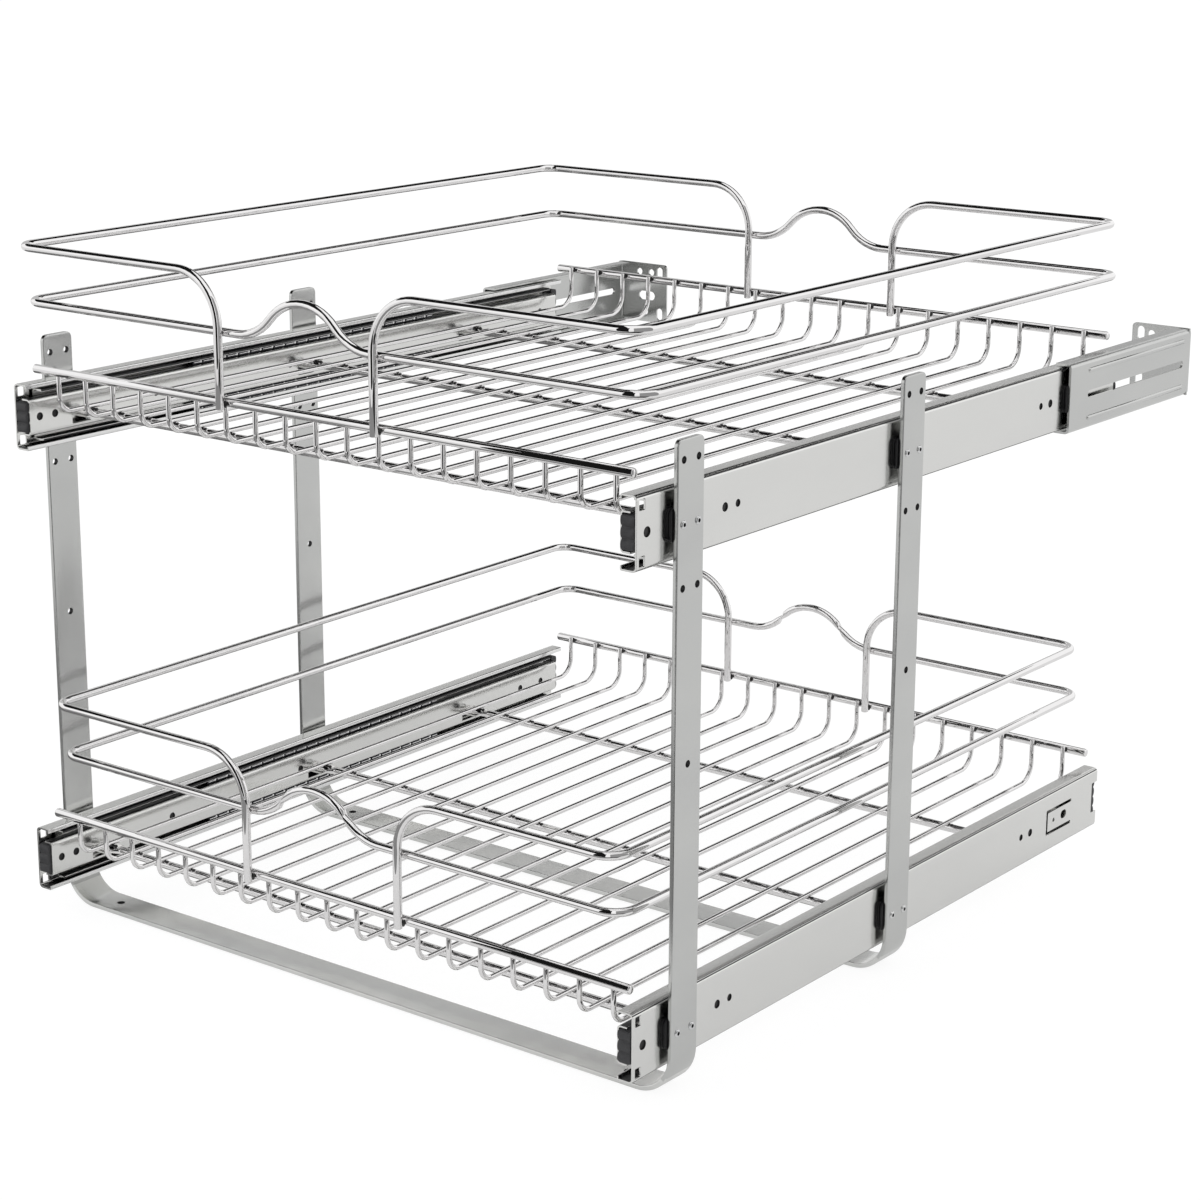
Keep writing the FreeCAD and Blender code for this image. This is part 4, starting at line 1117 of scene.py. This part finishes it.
def plane(name, corners, material):
    data = bpy.data.meshes.new(name)
    data.from_pydata([Vector(c) for c in corners], [], [(0, 1, 2, 3)])
    obj = bpy.data.objects.new(name, data)
    bpy.context.scene.collection.objects.link(obj)
    data.materials.append(material)
    return obj


def bare_material(name):
    """Material with an output node alone."""
    material = bpy.data.materials.new(name)
    material.use_nodes = True
    tree = material.node_tree
    tree.nodes.clear()
    return material, tree, tree.nodes.new("ShaderNodeOutputMaterial")


def level(height, *corners):
    """Corners of a level card or floor at a height."""
    return [(x, y, height) for x, y in corners]


def studio_floor():
    """White floor that keeps the object's shadow and glows for the camera and for reflections."""
    material, tree, out = bare_material("floor_white")
    blend = tree.nodes.new("ShaderNodeMixShader")
    paper = tree.nodes.new("ShaderNodeBsdfDiffuse")
    paper.inputs["Color"].default_value = (PAPER_TONE, PAPER_TONE, PAPER_TONE, 1)
    glow = tree.nodes.new("ShaderNodeEmission")
    glow.inputs["Color"].default_value = (1, 1, 1, 1)
    glow.inputs["Strength"].default_value = FLOOR_GLOW
    path = tree.nodes.new("ShaderNodeLightPath")
    before = None
    for ray, share in GLOW_SHARES:
        seen = tree.nodes.new("ShaderNodeMath")
        seen.operation = "MULTIPLY_ADD"
        seen.use_clamp = True
        seen.inputs[1].default_value = share
        seen.inputs[2].default_value = 0.0
        tree.links.new(path.outputs[ray], seen.inputs[0])
        if before:
            tree.links.new(before.outputs[0], seen.inputs[2])
        before = seen
    tree.links.new(seen.outputs[0], blend.inputs["Fac"])
    tree.links.new(paper.outputs[0], blend.inputs[1])
    tree.links.new(glow.outputs[0], blend.inputs[2])
    tree.links.new(blend.outputs[0], out.inputs["Surface"])
    half = FLOOR_SPAN / 2
    plane("studio_floor", level(-FLOOR_DROP, (-half, -half), (half, -half), (half, half), (-half, half)),
          material)


def card(name, tone, corners):
    """Card that only reflections see."""
    material, tree, out = bare_material(name + "_tone")
    glow = tree.nodes.new("ShaderNodeEmission")
    glow.inputs["Color"].default_value = (tone, tone, tone, 1)
    tree.links.new(glow.outputs[0], out.inputs["Surface"])
    obj = plane(name, corners, material)
    obj.visible_camera = False
    obj.visible_diffuse = False
    obj.visible_shadow = False
    obj.visible_transmission = False


def standing(first, last, distance, low, high):
    """Corners of an upright card between two bearings round the object, in degrees from +Y toward +X."""
    ends = [Vector((math.sin(math.radians(a)), math.cos(math.radians(a)), 0)) for a in (first, last)]
    feet = [STUDIO_MIDDLE + away * distance for away in ends]
    up = Vector((0, 0, 1))
    return [feet[0] + up * low, feet[1] + up * low, feet[1] + up * high, feet[0] + up * high]


studio_floor()
card("card_behind", 0.01, standing(-39, 24, 3.2, 1.7, 4.4))
card("card_horizon", 0.52, standing(-78, -15, 3.1, 0.4, 1.7))
card("card_over", 0.01, level(OVERHEAD, (-3.8, -2.2), (-0.75, -2.2), (-0.75, 1.8), (-3.8, 1.8)))
card("card_bridge", 0.01, level(OVERHEAD, (-0.75, -2.2), (0.1, -3.4), (1.2, -2.4), (-0.75, 0.6)))
card("card_left", 0.01, standing(152, 192, 1.2, 0.0, 1.7))
card("card_right", 0.30, standing(75, 138, 1.3, 0.0, 1.6))
card("card_low", 0.25, level(LYING, (-1.0, -0.72), (0.9, -0.72), (0.8, -0.22), (-0.9, -0.22)))
card("card_step", 0.02, level(STEP_UP, (0.32, -0.75), (1.0, -0.75), (1.0, -0.12), (0.5, -0.12)))
card("card_under", 0.15, level(LYING, (-1.1, -0.2), (-0.28, -0.2), (-0.28, 1.5), (-1.1, 1.5)))

world = bpy.data.worlds.new("white_room")
world.use_nodes = True
sky = world.node_tree.nodes["Background"].inputs
sky["Color"].default_value = (1, 1, 1, 1)
sky["Strength"].default_value = 1.0
bpy.context.scene.world = world
bpy.context.scene.view_settings.view_transform = "Standard"

# Camera
CAMERA_PLACE = (1.15997, -1.24809, 0.72915)
CAMERA_TURN, CAMERA_TILT, CAMERA_ROLL = 37.65, 15.49, 0.23
CAMERA_LENS, CAMERA_SENSOR, CAMERA_REACH = 84.97, 36.0, 100.0

turn, tilt, roll = (math.radians(angle) for angle in (CAMERA_TURN, CAMERA_TILT, CAMERA_ROLL))
forward = Vector((-math.sin(turn) * math.cos(tilt), math.cos(turn) * math.cos(tilt), -math.sin(tilt)))
right = Vector((math.cos(turn), math.sin(turn), 0))
up = right.cross(forward)
tipped_right = right * math.cos(roll) + up * math.sin(roll)
tipped_up = tipped_right.cross(forward)
facing = Matrix((tipped_right, tipped_up, -forward)).transposed().to_4x4()
lens = bpy.data.cameras.new("camera")
lens.lens = CAMERA_LENS
lens.sensor_width = CAMERA_SENSOR
lens.clip_end = CAMERA_REACH
camera = bpy.data.objects.new("camera", lens)
camera.matrix_world = Matrix.Translation(CAMERA_PLACE) @ facing
bpy.context.scene.collection.objects.link(camera)
bpy.context.scene.camera = camera
